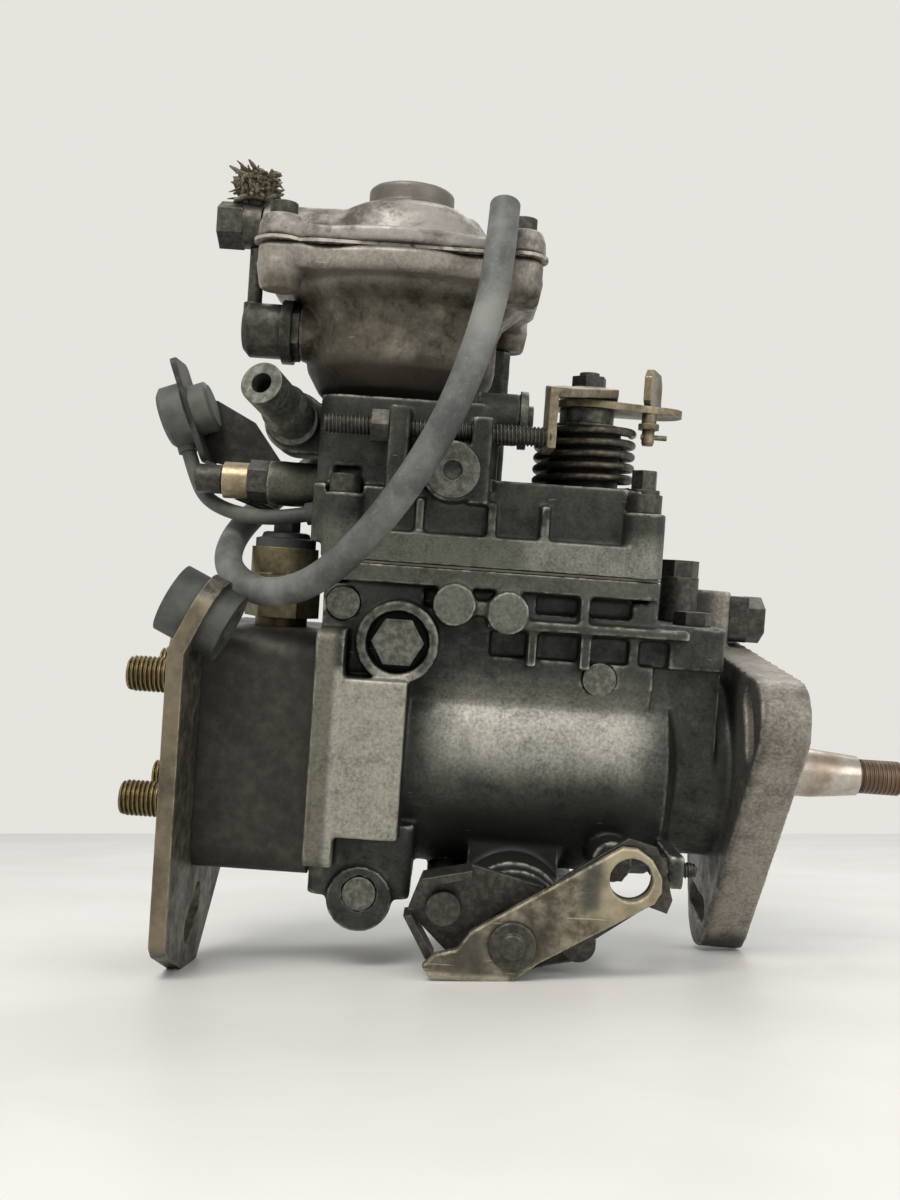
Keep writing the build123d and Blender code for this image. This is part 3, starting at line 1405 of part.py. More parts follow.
# Inlet fitting with its bolt, and the pressure regulating valve
with BuildPart() as inlet_fitting:
    block(facing_x(inlet_seat_x, inlet_y, inlet_z), 17, 17, 7, corner=2)
    round_bar(facing_x(inlet_seat_x, inlet_y, inlet_z), 5 + bolt_gap, 7, mode=Mode.SUBTRACT)
    hexagon_bar(facing_x(inlet_seat_x + 7, inlet_y, inlet_z), 15, 6.5, turn=30)
    round_bar(facing_x(inlet_seat_x + 7, inlet_y, inlet_z), 5, -20)
finish(inlet_fitting, "inlet_fitting")

with BuildPart() as pressure_valve:
    round_bar(facing_up(shelf_z - 11, valve_x, valve_y), 6, 11)
    round_bar(facing_up(shelf_z, valve_x, valve_y), 6.8, 16)
    hexagon_bar(facing_up(shelf_z + 16, valve_x, valve_y), 11.5, 6)
finish(pressure_valve, "pressure_valve")

# Connector, its bracket and its lead
connector_plane = Plane(origin=(-206.8, 5.5, 113), x_dir=(0, 1, 0), z_dir=(36.6, 0, 14))
connector_plate_thickness = 2.0

with BuildPart() as connector_bracket:
    with BuildSketch(connector_plane) as connector_plate:
        with Locations((1.5, 0)):
            RectangleRounded(20, 38, 3)
        Circle(7.2, mode=Mode.SUBTRACT)
    extrude(connector_plate.sketch, amount=-connector_plate_thickness)
    plate(
        facing_viewer(15),
        [
            (-210, 119),
            (-201, 118.5),
            (-187, 111.5),
            (-176, 97),
            (-160, 97),
            (-160, 91),
            (-176, 91),
            (-200.8, 96),
        ],
        -connector_plate_thickness,
    )
    slab((-160.2, tower_left_x), (4.5, 17), (91, 106))
finish(connector_bracket, "connector_bracket")

with BuildPart() as wiring_connector:
    turned(
        connector_plane.offset(-connector_plate_thickness),
        [
            (-9, 9.5),
            (-7.5, 11.2),
            (0, 11.2),
            (0, 7),
            (connector_plate_thickness, 7),
            (connector_plate_thickness, 9),
            (8, 9),
            (9, 7.5),
        ],
    )
    lead_exit = Vector(-208.2, 5.5, 98.4)
    lead_second = Vector(-205, 4.5, 89.8)
    neck_way = (lead_exit - lead_second).normalized()
    neck_plane = Plane(origin=lead_exit, z_dir=neck_way)
    round_bar(neck_plane, 3.6, 9)
finish(wiring_connector, "wiring_connector")


def cord_path(points):
    """Radius of each bend of a cord: as large as the two runs beside it allow."""
    radii = []
    for before, here, after in zip(points, points[1:], points[2:]):
        arriving = Vector(*here) - Vector(*before)
        leaving = Vector(*after) - Vector(*here)
        half_turn = radians(arriving.get_angle(leaving)) / 2
        radii.append(0.45 * min(arriving.length, leaving.length) / tan(half_turn))
    return radii


lead_points = [
    tuple(lead_exit),
    tuple(lead_second),
    (-200, 0, 82),
    (-190.5, -6, 77.8),
    (-180, -11, 76.3),
    (-170.5, -14, 76.6),
    (-162, -14.8, 78.3),
]
lead_radii = cord_path(lead_points)

with BuildPart() as connector_lead:
    with BuildLine() as lead_line:
        FilletPolyline(*lead_points, radius=lead_radii)
    with BuildSketch(Plane(origin=lead_points[0], z_dir=Vector(*lead_points[1]) - Vector(*lead_points[0]))):
        Circle(lead_radius)
    sweep()
finish(connector_lead, "connector_lead")

grommet_way = Vector(*lead_points[-1]) - Vector(*lead_points[-2])

with BuildPart() as lead_grommet:
    round_bar(Plane(origin=lead_points[-1], z_dir=grommet_way), 3.8, 7)
    slab((tower_left_x, tower_left_x + 12), (-25, -5), (70, 88), mode=Mode.SUBTRACT)
finish(lead_grommet, "lead_grommet")

# Hose: from the union on the tower's left face, round the solenoid and up the near side
hose_points = [
    (-170, 26, 95),
    (-178, 21.5, 86.5),
    (-185.5, 12.5, 77.5),
    (-189.5, 0, 68.5),
    (-188.5, -14, 60),
    (-181, -28, 54),
    (-169.5, -40.5, 51),
    (-155, -51, 55),
    (-141, -59, 67),
    (-127.5, -64.5, 85),
    (-116.5, -66.5, 105),
    (-109.5, -65.5, 125),
    (-105.2, -62, 143.5),
    (-103.6, -56.5, 160),
    (-103, -49.5, 175.5),
]
hose_radii = cord_path(hose_points)

with BuildPart() as fuel_hose:
    with BuildLine() as hose_line:
        FilletPolyline(*hose_points, radius=hose_radii)
    with BuildSketch(Plane(origin=hose_points[0], z_dir=Vector(*hose_points[1]) - Vector(*hose_points[0]))):
        Circle(hose_radius)
    sweep()
finish(fuel_hose, "fuel_hose")

# Unions: the hose's one, the return line's one and the one in the boost unit's port
hose_way = (Vector(*hose_points[1]) - Vector(*hose_points[0])).normalized()
hose_spigot_length = 9.7
hose_knee = Vector(*hose_points[0]) - hose_way * hose_spigot_length

with BuildPart() as unions:
    round_bar(facing_x(tower_left_x, hose_knee.Y, hose_knee.Z), 5.5, hose_knee.X - tower_left_x)
    with Locations(hose_knee):
        Sphere(5.5)
    round_bar(Plane(origin=hose_knee, z_dir=hose_way), 4.2, hose_spigot_length)
    return_root = (return_boss_x, return_seat_y - 5, return_boss_z + 1)
    return_way = Vector(*return_tip) - Vector(*return_root)
    return_pipe = Plane(origin=return_root, z_dir=return_way)
    round_bar(facing_viewer(return_seat_y, return_boss_x, return_boss_z), 8.5, 7)
    turned(return_pipe, [(0, 8), (8, 8), (11, 6.9), (return_way.length, 6.9)])
    round_bar(return_pipe.offset(return_way.length), 3.4, -18, mode=Mode.SUBTRACT)
    hexagon_bar(facing_x(-171, boost_feed_y, boost_port_z), 17, 2.5, turn=30)
    round_bar(facing_x(-171, boost_feed_y, boost_port_z), 5, 10)
finish(unions, "unions")


def path_length(line):
    """Length of a cord's whole path."""
    return sum(edge.length for edge in line.line.edges())


for cord_name, cord, line, radius, radii in (
    ("lead", connector_lead, lead_line, lead_radius, lead_radii),
    ("hose", fuel_hose, hose_line, hose_radius, hose_radii),
):
    length = path_length(line)
    print(cord_name, "bend radii", [round(bend, 1) for bend in radii])
    print(cord_name, "length", round(length, 1), "volume", round(cord.part.volume, 1))
    print(cord_name, "section times length", round(pi * radius**2 * length, 1))
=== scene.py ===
import math
import random
from collections import namedtuple

import bpy
from mathutils import Matrix, Vector


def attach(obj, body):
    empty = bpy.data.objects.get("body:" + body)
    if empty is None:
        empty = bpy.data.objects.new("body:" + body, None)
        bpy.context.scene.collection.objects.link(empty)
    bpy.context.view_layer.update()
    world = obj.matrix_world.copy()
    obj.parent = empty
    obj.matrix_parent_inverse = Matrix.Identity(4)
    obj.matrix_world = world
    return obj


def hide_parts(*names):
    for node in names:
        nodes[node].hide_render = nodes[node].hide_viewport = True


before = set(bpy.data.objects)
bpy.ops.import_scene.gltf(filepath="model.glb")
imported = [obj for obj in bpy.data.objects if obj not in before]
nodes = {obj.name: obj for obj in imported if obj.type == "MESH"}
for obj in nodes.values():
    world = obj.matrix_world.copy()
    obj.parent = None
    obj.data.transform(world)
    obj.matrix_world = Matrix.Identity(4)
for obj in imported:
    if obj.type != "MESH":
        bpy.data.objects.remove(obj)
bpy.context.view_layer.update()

MM = 0.001


def linked(name, data):
    """A new object with this data, in the scene."""
    piece = bpy.data.objects.new(name, data)
    bpy.context.scene.collection.objects.link(piece)
    return piece


# Camera at the photograph's viewpoint
CAMERA_PLACE = (-0.1115, -0.400, 0.0627)
CAMERA_ROLL = math.radians(4.0)
CAMERA_PITCH = math.radians(1.5)
LENS_MM = 33.96
SENSOR_MM = 36


def photo_camera():
    """Camera of the photograph, rolled so that the table looks level."""
    data = bpy.data.cameras.new("photo_camera")
    data.lens = LENS_MM
    data.sensor_width = SENSOR_MM
    data.clip_start = 0.01
    camera = linked("photo_camera", data)
    forward = Vector((0, math.cos(CAMERA_PITCH), -math.sin(CAMERA_PITCH)))
    above = Vector((0, math.sin(CAMERA_PITCH), math.cos(CAMERA_PITCH)))
    right = Vector((1, 0, 0))
    image_right = right * math.cos(CAMERA_ROLL) + above * math.sin(CAMERA_ROLL)
    image_up = above * math.cos(CAMERA_ROLL) - right * math.sin(CAMERA_ROLL)
    turn = Matrix((image_right, image_up, -forward)).transposed().to_4x4()
    camera.matrix_world = Matrix.Translation(CAMERA_PLACE) @ turn
    bpy.context.scene.camera = camera


photo_camera()


# Cords
def cord_curve(name, points_mm, diameter_mm):
    """A cord on a smooth spline with its route's points as control points.

    The radius is set at the points and not as bevel depth, so that the curve's box is the cord's own.
    """
    curve = bpy.data.curves.new(name, "CURVE")
    curve.dimensions = "3D"
    spline = curve.splines.new("NURBS")
    spline.points.add(len(points_mm) - 1)
    for point, place in zip(spline.points, points_mm):
        point.co = (place[0] * MM, place[1] * MM, place[2] * MM, 1)
        point.radius = diameter_mm * MM / 2
    spline.order_u = 3
    spline.use_endpoint_u = True
    spline.resolution_u = 24
    curve.bevel_depth = 1.0
    curve.bevel_resolution = 12
    curve.use_fill_caps = True
    return linked(name, curve)


hose_route = [
    (-170, 26, 95),
    (-178, 21.5, 86.5),
    (-185.5, 12.5, 77.5),
    (-189.5, 0, 68.5),
    (-188.5, -14, 60),
    (-181, -28, 54),
    (-169.5, -40.5, 51),
    (-155, -51, 55),
    (-141, -59, 67),
    (-127.5, -64.5, 85),
    (-116.5, -66.5, 105),
    (-109.5, -65.5, 125),
    (-105.2, -62, 143.5),
    (-103.6, -56.5, 160),
    (-103, -49.5, 175.5),
]
lead_route = [
    (-208.2, 5.5, 98.4),
    (-205, 4.5, 89.8),
    (-200, 0, 82),
    (-190.5, -6, 77.8),
    (-180, -11, 76.3),
    (-170.5, -14, 76.6),
    (-162, -14.8, 78.3),
]

hose = cord_curve("rubber_hose", hose_route, 9.4)
lead = cord_curve("sensor_lead", lead_route, 5.2)
for piece, node in ((hose, "fuel_hose"), (lead, "connector_lead")):
    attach(piece, "pump")
    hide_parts(node)


# Materials. Noise scales count features per metre, as object coordinates are in metres.
# A zone is a box in mm whose surface takes another colour and roughness, by the amount given.
Zone = namedtuple("Zone", "low high soft colour amount rough")


def srgb(r, g, b):
    """Linear colour of an sRGB value given as 0 to 255."""
    linear = []
    for value in (r, g, b):
        c = value / 255
        linear.append(c / 12.92 if c <= 0.04045 else ((c + 0.055) / 1.055) ** 2.4)
    return (*linear, 1)


def grey(value):
    """A number as a colour, for mixing."""
    return (value, value, value, 1)


class Graph:
    """A material's node tree with short calls for the nodes used here."""

    def __init__(self, name):
        self.material = bpy.data.materials.new(name)
        self.material.use_nodes = True
        self.tree = self.material.node_tree
        self.tree.nodes.clear()
        self.out = self.add("ShaderNodeOutputMaterial")
        self.shader = self.add("ShaderNodeBsdfPrincipled")
        self.link(self.shader.outputs["BSDF"], self.out.inputs["Surface"])
        self.place = self.add("ShaderNodeTexCoord").outputs["Object"]

    def add(self, kind):
        return self.tree.nodes.new(kind)

    def link(self, a, b):
        self.tree.links.new(a, b)

    def put(self, socket, value):
        if hasattr(value, "is_output"):
            self.link(value, socket)
        else:
            socket.default_value = value

    def noise(self, scale, detail=4, rough=0.55, stretch=None, distortion=0.0):
        node = self.add("ShaderNodeTexNoise")
        node.inputs["Scale"].default_value = scale
        node.inputs["Detail"].default_value = detail
        node.inputs["Roughness"].default_value = rough
        node.inputs["Distortion"].default_value = distortion
        place = self.place
        if stretch:
            mapping = self.add("ShaderNodeMapping")
            mapping.inputs["Scale"].default_value = stretch
            self.link(self.place, mapping.inputs["Vector"])
            place = mapping.outputs["Vector"]
        self.link(place, node.inputs["Vector"])
        return node.outputs["Fac"]

    def step(self, value, low, high, out_low=0.0, out_high=1.0):
        """Smooth step of a value from out_low at low to out_high at high."""
        node = self.add("ShaderNodeMapRange")
        node.interpolation_type = "SMOOTHSTEP"
        self.put(node.inputs["Value"], value)
        for key, number in (("From Min", low), ("From Max", high), ("To Min", out_low), ("To Max", out_high)):
            node.inputs[key].default_value = number
        return node.outputs["Result"]

    def math(self, operation, a, b=0.0):
        node = self.add("ShaderNodeMath")
        node.operation = operation
        node.use_clamp = operation in ("ADD", "SUBTRACT")
        self.put(node.inputs[0], a)
        self.put(node.inputs[1], b)
        return node.outputs[0]

    def mix(self, factor, a, b):
        node = self.add("ShaderNodeMix")
        node.data_type = "RGBA"
        self.put(node.inputs["Factor"], factor)
        self.put(node.inputs[6], a)
        self.put(node.inputs[7], b)
        return node.outputs[2]

    def region(self, low, high, soft):
        """1 inside a box in mm, falling to 0 over a soft edge; None leaves a side open."""
        split = self.add("ShaderNodeSeparateXYZ")
        self.link(self.place, split.inputs[0])
        factor = None
        for axis in range(3):
            for limit, sign in ((low[axis], 1), (high[axis], -1)):
                if limit is None:
                    continue
                edge = limit * MM
                width = soft * MM
                ends = (0, 1) if sign > 0 else (1, 0)
                part = self.step(split.outputs[axis], edge - width, edge + width, *ends)
                factor = part if factor is None else self.math("MULTIPLY", factor, part)
        return factor

    def pointiness(self, low, high):
        """1 on the edges of a fine mesh, or in its hollows where low is above high."""
        return self.step(self.add("ShaderNodeNewGeometry").outputs["Pointiness"], low, high)

    def crevice(self, distance_mm):
        """1 in corners and cavities, where nearby surfaces shade them, 0 in the open; used to paint shade."""
        node = self.add("ShaderNodeAmbientOcclusion")
        node.samples = 6
        node.inputs["Distance"].default_value = distance_mm * MM
        return self.step(node.outputs["AO"], 0.35, 0.95, 1, 0)

    def edges(self, radius_mm):
        """A rounded normal, and 1 on sharp edges, where the true normal leaves the rounded one."""
        rounded = self.add("ShaderNodeBevel")
        rounded.samples = 4
        rounded.inputs["Radius"].default_value = radius_mm * MM
        true = self.add("ShaderNodeNewGeometry")
        dot = self.add("ShaderNodeVectorMath")
        dot.operation = "DOT_PRODUCT"
        self.link(rounded.outputs["Normal"], dot.inputs[0])
        self.link(true.outputs["Normal"], dot.inputs[1])
        return rounded.outputs["Normal"], self.step(dot.outputs["Value"], 0.995, 0.85, 0, 1)

    def bump(self, height, strength, distance_mm, normal=None):
        node = self.add("ShaderNodeBump")
        node.inputs["Strength"].default_value = strength
        node.inputs["Distance"].default_value = distance_mm * MM
        self.link(height, node.inputs["Height"])
        if normal is not None:
            self.link(normal, node.inputs["Normal"])
        return node.outputs["Normal"]


METAL_CREVICE_MM = 4
CASTING_CREVICE_MM = 9


def worn_metal(name, body, dirt_and_shade, bright, metallic=0.6, rough=(0.35, 0.7), patch=70, dirt_amount=0.5,
               wear=0.6, grain=(1100, 0.35, 0.12), zones=(), edge_mm=0.5, scratches=0.0, thread=None):
    """Metal with dirty patches, painted shade in its corners and thread grooves, bright worn edges and a
    grained surface.

    grain: (scale, strength, depth in mm) of the fine bump.
    thread: (start, end, pitch) in mm along X, for the turns on a CAD node that stays plain.
    """
    g = Graph(name)
    body, dirt_and_shade, bright = srgb(*body), srgb(*dirt_and_shade), srgb(*bright)
    patches = g.noise(patch, 6, 0.62)
    fine = g.noise(patch * 6, 5, 0.6)
    colour = g.mix(g.step(fine, 0.35, 0.7), body, g.mix(0.35, body, bright))
    roughness = g.step(patches, 0.3, 0.7, rough[0], rough[1])
    for zone in zones:
        inside = g.region(zone.low, zone.high, zone.soft)
        breaks = g.step(g.noise(patch * 1.7, 5), 0.25, 0.55, zone.amount * 0.65, zone.amount)
        broken = g.math("MULTIPLY", inside, breaks)
        colour = g.mix(broken, colour, srgb(*zone.colour))
        roughness = g.mix(broken, roughness, grey(zone.rough))
    dirt_factor = g.math("MULTIPLY", g.step(patches, 0.45, 0.68), dirt_amount)
    colour = g.mix(dirt_factor, colour, dirt_and_shade)
    dots = g.step(g.noise(1500, 3, 0.7), 0.60, 0.74, 0, 0.3)
    colour = g.mix(dots, colour, dirt_and_shade)
    # painted shade: corners and cavities darkened toward the dirt colour
    corner_shade = g.math("MULTIPLY", g.crevice(METAL_CREVICE_MM), 0.7)
    colour = g.mix(corner_shade, colour, dirt_and_shade)
    normal, edge = g.edges(edge_mm)
    broken_edge = g.math("MULTIPLY", edge, g.step(g.noise(420, 4), 0.35, 0.6, 0.15, 1))
    colour = g.mix(g.math("MULTIPLY", broken_edge, wear), colour, bright)
    if scratches > 0:
        streak = g.step(g.noise(260, 3, 0.5, stretch=(0.15, 1, 5)), 0.66, 0.70, 0, scratches)
        colour = g.mix(streak, colour, bright)
    g.link(colour, g.shader.inputs["Base Color"])
    g.shader.inputs["Metallic"].default_value = metallic
    g.link(roughness, g.shader.inputs["Roughness"])
    scale, strength, depth = grain
    height = g.math("ADD", g.noise(scale, 4, 0.65), g.math("MULTIPLY", g.noise(scale / 5, 4), 0.8))
    if thread:
        start, end, pitch = thread
        split = g.add("ShaderNodeSeparateXYZ")
        g.link(g.place, split.inputs[0])
        phase = g.math("PINGPONG", split.outputs[0], pitch * MM / 2)
        groove = g.math("MULTIPLY", g.step(phase, 0.12 * pitch * MM, 0.4 * pitch * MM, 1, 0),
                        g.region((start, None, None), (end, None, None), 0.2))
        # painted shade: the thread's grooves darkened toward the dirt colour
        g.link(g.mix(g.math("MULTIPLY", groove, 0.85), colour, dirt_and_shade), g.shader.inputs["Base Color"])
        normal = g.bump(g.math("SUBTRACT", 1.0, groove), 1.0, 0.9, normal)
    g.link(g.bump(height, strength, depth, normal), g.shader.inputs["Normal"])
    return g.material


def grimy_casting(name, dark, mid, light, bright, zones=(), patch=32, light_amount=0.6, wear=0.8,
                  crevice_amount=0.85, mottle=0.25):
    """Dirty, oily cast metal: three tones at several scales, painted shade in its pockets and hollows, rubbed
    edges.
    """
    g = Graph(name)
    # colour of the painted shade in corners and cavities
    pocket_shade = srgb(*[v * 0.8 for v in dark])
    dark, mid, light, bright = srgb(*dark), srgb(*mid), srgb(*light), srgb(*bright)
    broad = g.noise(patch, 9, 0.68, distortion=0.6)
    medium = g.noise(patch * 5, 8, 0.7)
    fine = g.noise(patch * 28, 5, 0.7)
    mixed = g.math("ADD", g.math("MULTIPLY", medium, 0.35), g.math("MULTIPLY", fine, mottle))
    mixed = g.math("ADD", g.math("MULTIPLY", broad, 0.65 - mottle), mixed)
    colour = g.mix(g.step(mixed, 0.41, 0.52), dark, mid)
    colour = g.mix(g.step(mixed, 0.51, 0.62, 0, light_amount), colour, light)
    roughness = g.step(mixed, 0.42, 0.6, 0.66, 0.34)
    for zone in zones:
        breaks = g.step(mixed, 0.36, 0.56, zone.amount * 0.45, zone.amount)
        inside = g.math("MULTIPLY", g.region(zone.low, zone.high, zone.soft), breaks)
        shaded = g.mix(g.step(fine, 0.3, 0.7, 0.35, 0), srgb(*zone.colour), dark)
        colour = g.mix(inside, colour, shaded)
        roughness = g.mix(inside, roughness, grey(zone.rough))
    smear = g.step(g.noise(60, 6, 0.6, stretch=(1, 1, 0.25)), 0.52, 0.72, 0, 0.45)
    colour = g.mix(smear, colour, dark)
    specks = g.step(g.noise(1300, 3, 0.7), 0.58, 0.72, 0, 1.6 * mottle)
    colour = g.mix(specks, colour, dark)
    # painted shade: creases and hollows of the mesh darkened
    hollow = g.pointiness(0.495, 0.43)
    colour = g.mix(g.math("MULTIPLY", hollow, 0.7), colour, dark)
    # painted shade: corners and cavities darkened
    corner_shade = g.math("MULTIPLY", g.crevice(CASTING_CREVICE_MM), crevice_amount)
    colour = g.mix(corner_shade, colour, pocket_shade)
    rubbed = g.math("MULTIPLY", g.pointiness(0.512, 0.575), g.step(g.noise(300, 5), 0.38, 0.58, 0.1, 1))
    colour = g.mix(g.math("MULTIPLY", rubbed, wear), colour, bright)
    scratch = g.step(g.noise(190, 2, 0.5, stretch=(0.5, 1, 4)), 0.74, 0.77, 0, 0.3)
    colour = g.mix(scratch, colour, bright)
    g.link(colour, g.shader.inputs["Base Color"])
    g.shader.inputs["Metallic"].default_value = 0.35
    g.link(roughness, g.shader.inputs["Roughness"])
    height = g.math("ADD", g.noise(1000, 4, 0.65), g.math("MULTIPLY", g.noise(230, 4), 0.8))
    g.link(g.bump(height, 0.5, 0.14), g.shader.inputs["Normal"])
    return g.material


def rubber(name, colour, worn, scale=60, bump=0.25):
    """Matt rubber with paler scuffs."""
    g = Graph(name)
    patches = g.step(g.noise(scale, 5, 0.6), 0.35, 0.7)
    tint = g.mix(patches, srgb(*colour), srgb(*worn))
    fine = g.step(g.noise(900, 3), 0.55, 0.75, 0, 0.35)
    tint = g.mix(fine, tint, srgb(*worn))
    g.link(tint, g.shader.inputs["Base Color"])
    g.link(g.step(patches, 0, 1, 0.55, 0.8), g.shader.inputs["Roughness"])
    g.link(g.bump(g.noise(500, 5), bump, 0.2), g.shader.inputs["Normal"])
    return g.material


def set_material(node_names, material):
    """Gives CAD nodes one material all over."""
    for node_name in node_names:
        mesh = nodes[node_name].data
        if not mesh.materials:
            mesh.materials.append(material)
        for index in range(len(mesh.materials)):
            mesh.materials[index] = material


housing_material = grimy_casting(
    "grimy_housing_casting", (23, 24, 21), (50, 51, 45), (84, 84, 75), (186, 184, 172),
    zones=(
        Zone((-146, -60, -34), (-118, -44, 30), 1.5, (160, 158, 144), 0.95, 0.42),  # pad
        Zone((-156, -60, -38), (-146, -36, 44), 1.5, (112, 110, 95), 0.9, 0.5),  # strip beside the pad
        Zone((-112, -60, 2), (-46, -20, 24), 9, (180, 178, 166), 0.97, 0.32),  # painted highlight along the upper side of the barrel, smoother there
        Zone((-116, -60, -34), (-42, -16, -12), 6, (26, 27, 24), 0.85, 0.5),  # painted shade on the underside of the barrel
        Zone((-14.5, None, None), (4, None, None), 3, (156, 148, 136), 0.95, 0.42),  # mounting flange
        Zone((-150, -60, 52), (-40, -30, 66), 4, (92, 94, 84), 0.6, 0.55),  # ledge under the cover
        Zone((-120, -60, 45), (-85, -42, 60), 2, (116, 118, 105), 0.75, 0.5),  # bosses of the plugs
    ),
)
cover_material = grimy_casting(
    "grimy_cover_casting", (22, 23, 19), (48, 49, 42), (80, 80, 70), (182, 180, 168), patch=40,
    zones=(
        Zone((-90, -60, 62), (-40, -38, 76), 4, (140, 139, 128), 0.85, 0.48),  # skirt toward the drive end
        Zone((-156, -60, 62), (-90, -38, 76), 4, (102, 104, 92), 0.8, 0.55),  # skirt toward the head
        Zone((-185, -30, 78), (-156, 10, 98), 3, (104, 103, 89), 0.8, 0.5),  # boss of the full-load screw
    ),
)
boost_material = grimy_casting(
    "stained_boost_casting", (42, 35, 27), (92, 86, 73), (140, 134, 120), (194, 188, 176), patch=30,
    wear=0.7, light_amount=0.8, mottle=0.1,
    zones=(
        Zone((None, None, 152), (None, None, None), 2, (158, 152, 141), 0.88, 0.4),  # flange
        Zone((None, None, 110), (None, None, 130), 3, (50, 45, 37), 0.9, 0.55),  # foot of the bowl
    ),
)
lid_material = grimy_casting(
    "boost_lid_casting", (86, 80, 72), (148, 143, 137), (172, 168, 162), (204, 200, 193), patch=20,
    wear=0.6, light_amount=0.8, crevice_amount=0.7, mottle=0.1,
    zones=(
        Zone((None, None, 185.6), (None, None, None), 1.2, (96, 91, 82), 0.85, 0.45),  # boss on the dome
    ),
)

dark_steel = worn_metal("dark_head_steel", (50, 47, 41), (32, 30, 27), (88, 84, 76), metallic=0.4,
                        rough=(0.4, 0.62), patch=45, wear=0.5, grain=(1400, 0.4, 0.1))
bracket_material = worn_metal(
    "stained_bracket_steel", (58, 59, 51), (36, 31, 24), (170, 160, 138), metallic=0.5, rough=(0.4, 0.65),
    patch=50, dirt_amount=0.6, wear=0.9, edge_mm=0.8,
    zones=(Zone((None, -70, None), (None, -64.5, None), 0.6, (122, 110, 90), 0.8, 0.45),),
)
black_steel = worn_metal("black_oxide_steel", (58, 57, 52), (28, 27, 25), (120, 116, 106), metallic=0.7,
                         rough=(0.35, 0.55), patch=90, wear=0.6)
dull_steel = worn_metal("dull_steel", (76, 76, 68), (34, 34, 30), (164, 163, 154), metallic=0.6,
                        rough=(0.32, 0.55), patch=90, wear=0.7)
gold_zinc = worn_metal("worn_gold_zinc", (112, 101, 80), (50, 44, 35), (188, 178, 150), metallic=0.6,
                       rough=(0.34, 0.58), patch=70, dirt_amount=0.6, wear=0.7)
outlet_zinc = worn_metal("outlet_gold_zinc", (122, 104, 68), (50, 43, 30), (190, 172, 122), metallic=0.8,
                         rough=(0.3, 0.5), patch=90, dirt_amount=0.45, wear=0.7)
lever_steel = worn_metal(
    "worn_lever_steel", (86, 79, 65), (42, 37, 29), (226, 216, 190), metallic=0.5, rough=(0.38, 0.62),
    patch=34, dirt_amount=0.75, wear=1.0, edge_mm=1.1, scratches=0.35,
    zones=(
        Zone((-62, None, -40), (-38, None, -10), 3, (172, 160, 132), 0.75, 0.45),
        Zone((-114, None, -61), (-86, None, -57.6), 0.8, (220, 210, 186), 0.95, 0.5),
        Zone((-104, None, -58), (-93, None, -44), 3, (66, 67, 61), 0.8, 0.5),
        Zone((-66, None, -36), (-60, None, -20), 2, (70, 72, 66), 0.8, 0.5),
    ),
)
brass_material = worn_metal("bright_brass", (150, 136, 110), (84, 70, 50), (196, 182, 152), metallic=0.7,
                            rough=(0.25, 0.45), patch=120, dirt_amount=0.4, wear=0.5)
solenoid_material = worn_metal("dull_solenoid_brass", (104, 96, 70), (52, 46, 34), (160, 150, 116),
                               metallic=0.6, rough=(0.4, 0.6), patch=80, dirt_amount=0.6)
inner_steel = worn_metal("ground_inner_steel", (150, 150, 148), (84, 82, 78), (196, 196, 194), metallic=0.9,
                         rough=(0.22, 0.38), patch=80, dirt_amount=0.25, wear=0.3)
spring_material = worn_metal("oily_spring_steel", (62, 58, 50), (26, 24, 22), (132, 126, 112), metallic=0.8,
                             rough=(0.28, 0.5), patch=120, wear=0.4)
shaft_material = worn_metal(
    "stained_shaft_steel", (168, 160, 150), (110, 84, 62), (206, 202, 196), metallic=0.9, rough=(0.22, 0.4),
    patch=60, dirt_amount=0.6, wear=0.3, thread=(37.6, 52, 1.5),
    zones=(Zone((36.4, None, None), (None, None, None), 0.6, (92, 84, 76), 0.95, 0.45),),
)
gasket_material = rubber("paper_gasket", (62, 58, 48), (96, 90, 76))
hose_material = rubber("scuffed_hose_rubber", (64, 66, 63), (132, 132, 127), 38, 0.4)
black_rubber = rubber("black_rubber", (40, 42, 42), (84, 86, 84))
bush_rubber = rubber("grey_bush_rubber", (42, 45, 41), (84, 87, 80))
plastic = rubber("grey_connector_plastic", (62, 64, 58), (98, 100, 92), 90, 0.1)
connector_metal = worn_metal("dark_sheet_metal", (46, 44, 40), (26, 24, 22), (96, 94, 86), metallic=0.3,
                             rough=(0.5, 0.75), patch=60, wear=0.5)

NODE_MATERIALS = (
    (housing_material, ["pump_housing", "timing_covers"]),
    (cover_material, ["governor_cover"]),
    (boost_material, ["boost_diaphragm"]),
    (dark_steel, ["distributor_head"]),
    (bracket_material, ["rear_bracket"]),
    (black_steel, ["head_bolts", "hex_plugs", "lock_nuts", "cover_screws", "pressure_valve", "inlet_fitting",
                   "control_nut", "boost_banjo", "boost_link_pipe", "cold_start_bracket", "full_load_screw",
                   "stop_screws"]),
    (dull_steel, ["core_plugs", "pivot_bolts", "stop_pins", "control_shaft", "unions"]),
    (gold_zinc, ["throttle_plate", "stop_arm"]),
    (outlet_zinc, ["delivery_valve_holders"]),
    (lever_steel, ["cold_start_lever"]),
    (brass_material, ["full_load_collar", "shaft_bush"]),
    (solenoid_material, ["shutoff_solenoid"]),
    (spring_material, ["return_spring"]),
    (shaft_material, ["drive_shaft"]),
    (gasket_material, ["cover_gasket", "braided_hose_stub"]),
    (bush_rubber, ["bracket_bush"]),
    (black_rubber, ["solenoid_cap", "lead_grommet", "shaft_seal"]),
    (plastic, ["wiring_connector"]),
    (connector_metal, ["connector_bracket"]),
    (inner_steel, ["coupling_cross", "feed_pump_rotor", "governor_drive_gear", "cam_plate",
                   "distributor_plunger", "timing_piston", "roller_ring", "flyweight_carrier",
                   "governor_lever", "governor_sleeve", "control_collar", "boost_pin", "solenoid_plunger",
                   "feed_pump_ring", "governor_shaft", "plunger_barrel"]),
)
for material, node_names in NODE_MATERIALS:
    set_material(node_names, material)
hose.data.materials.append(hose_material)
lead.data.materials.append(plastic)


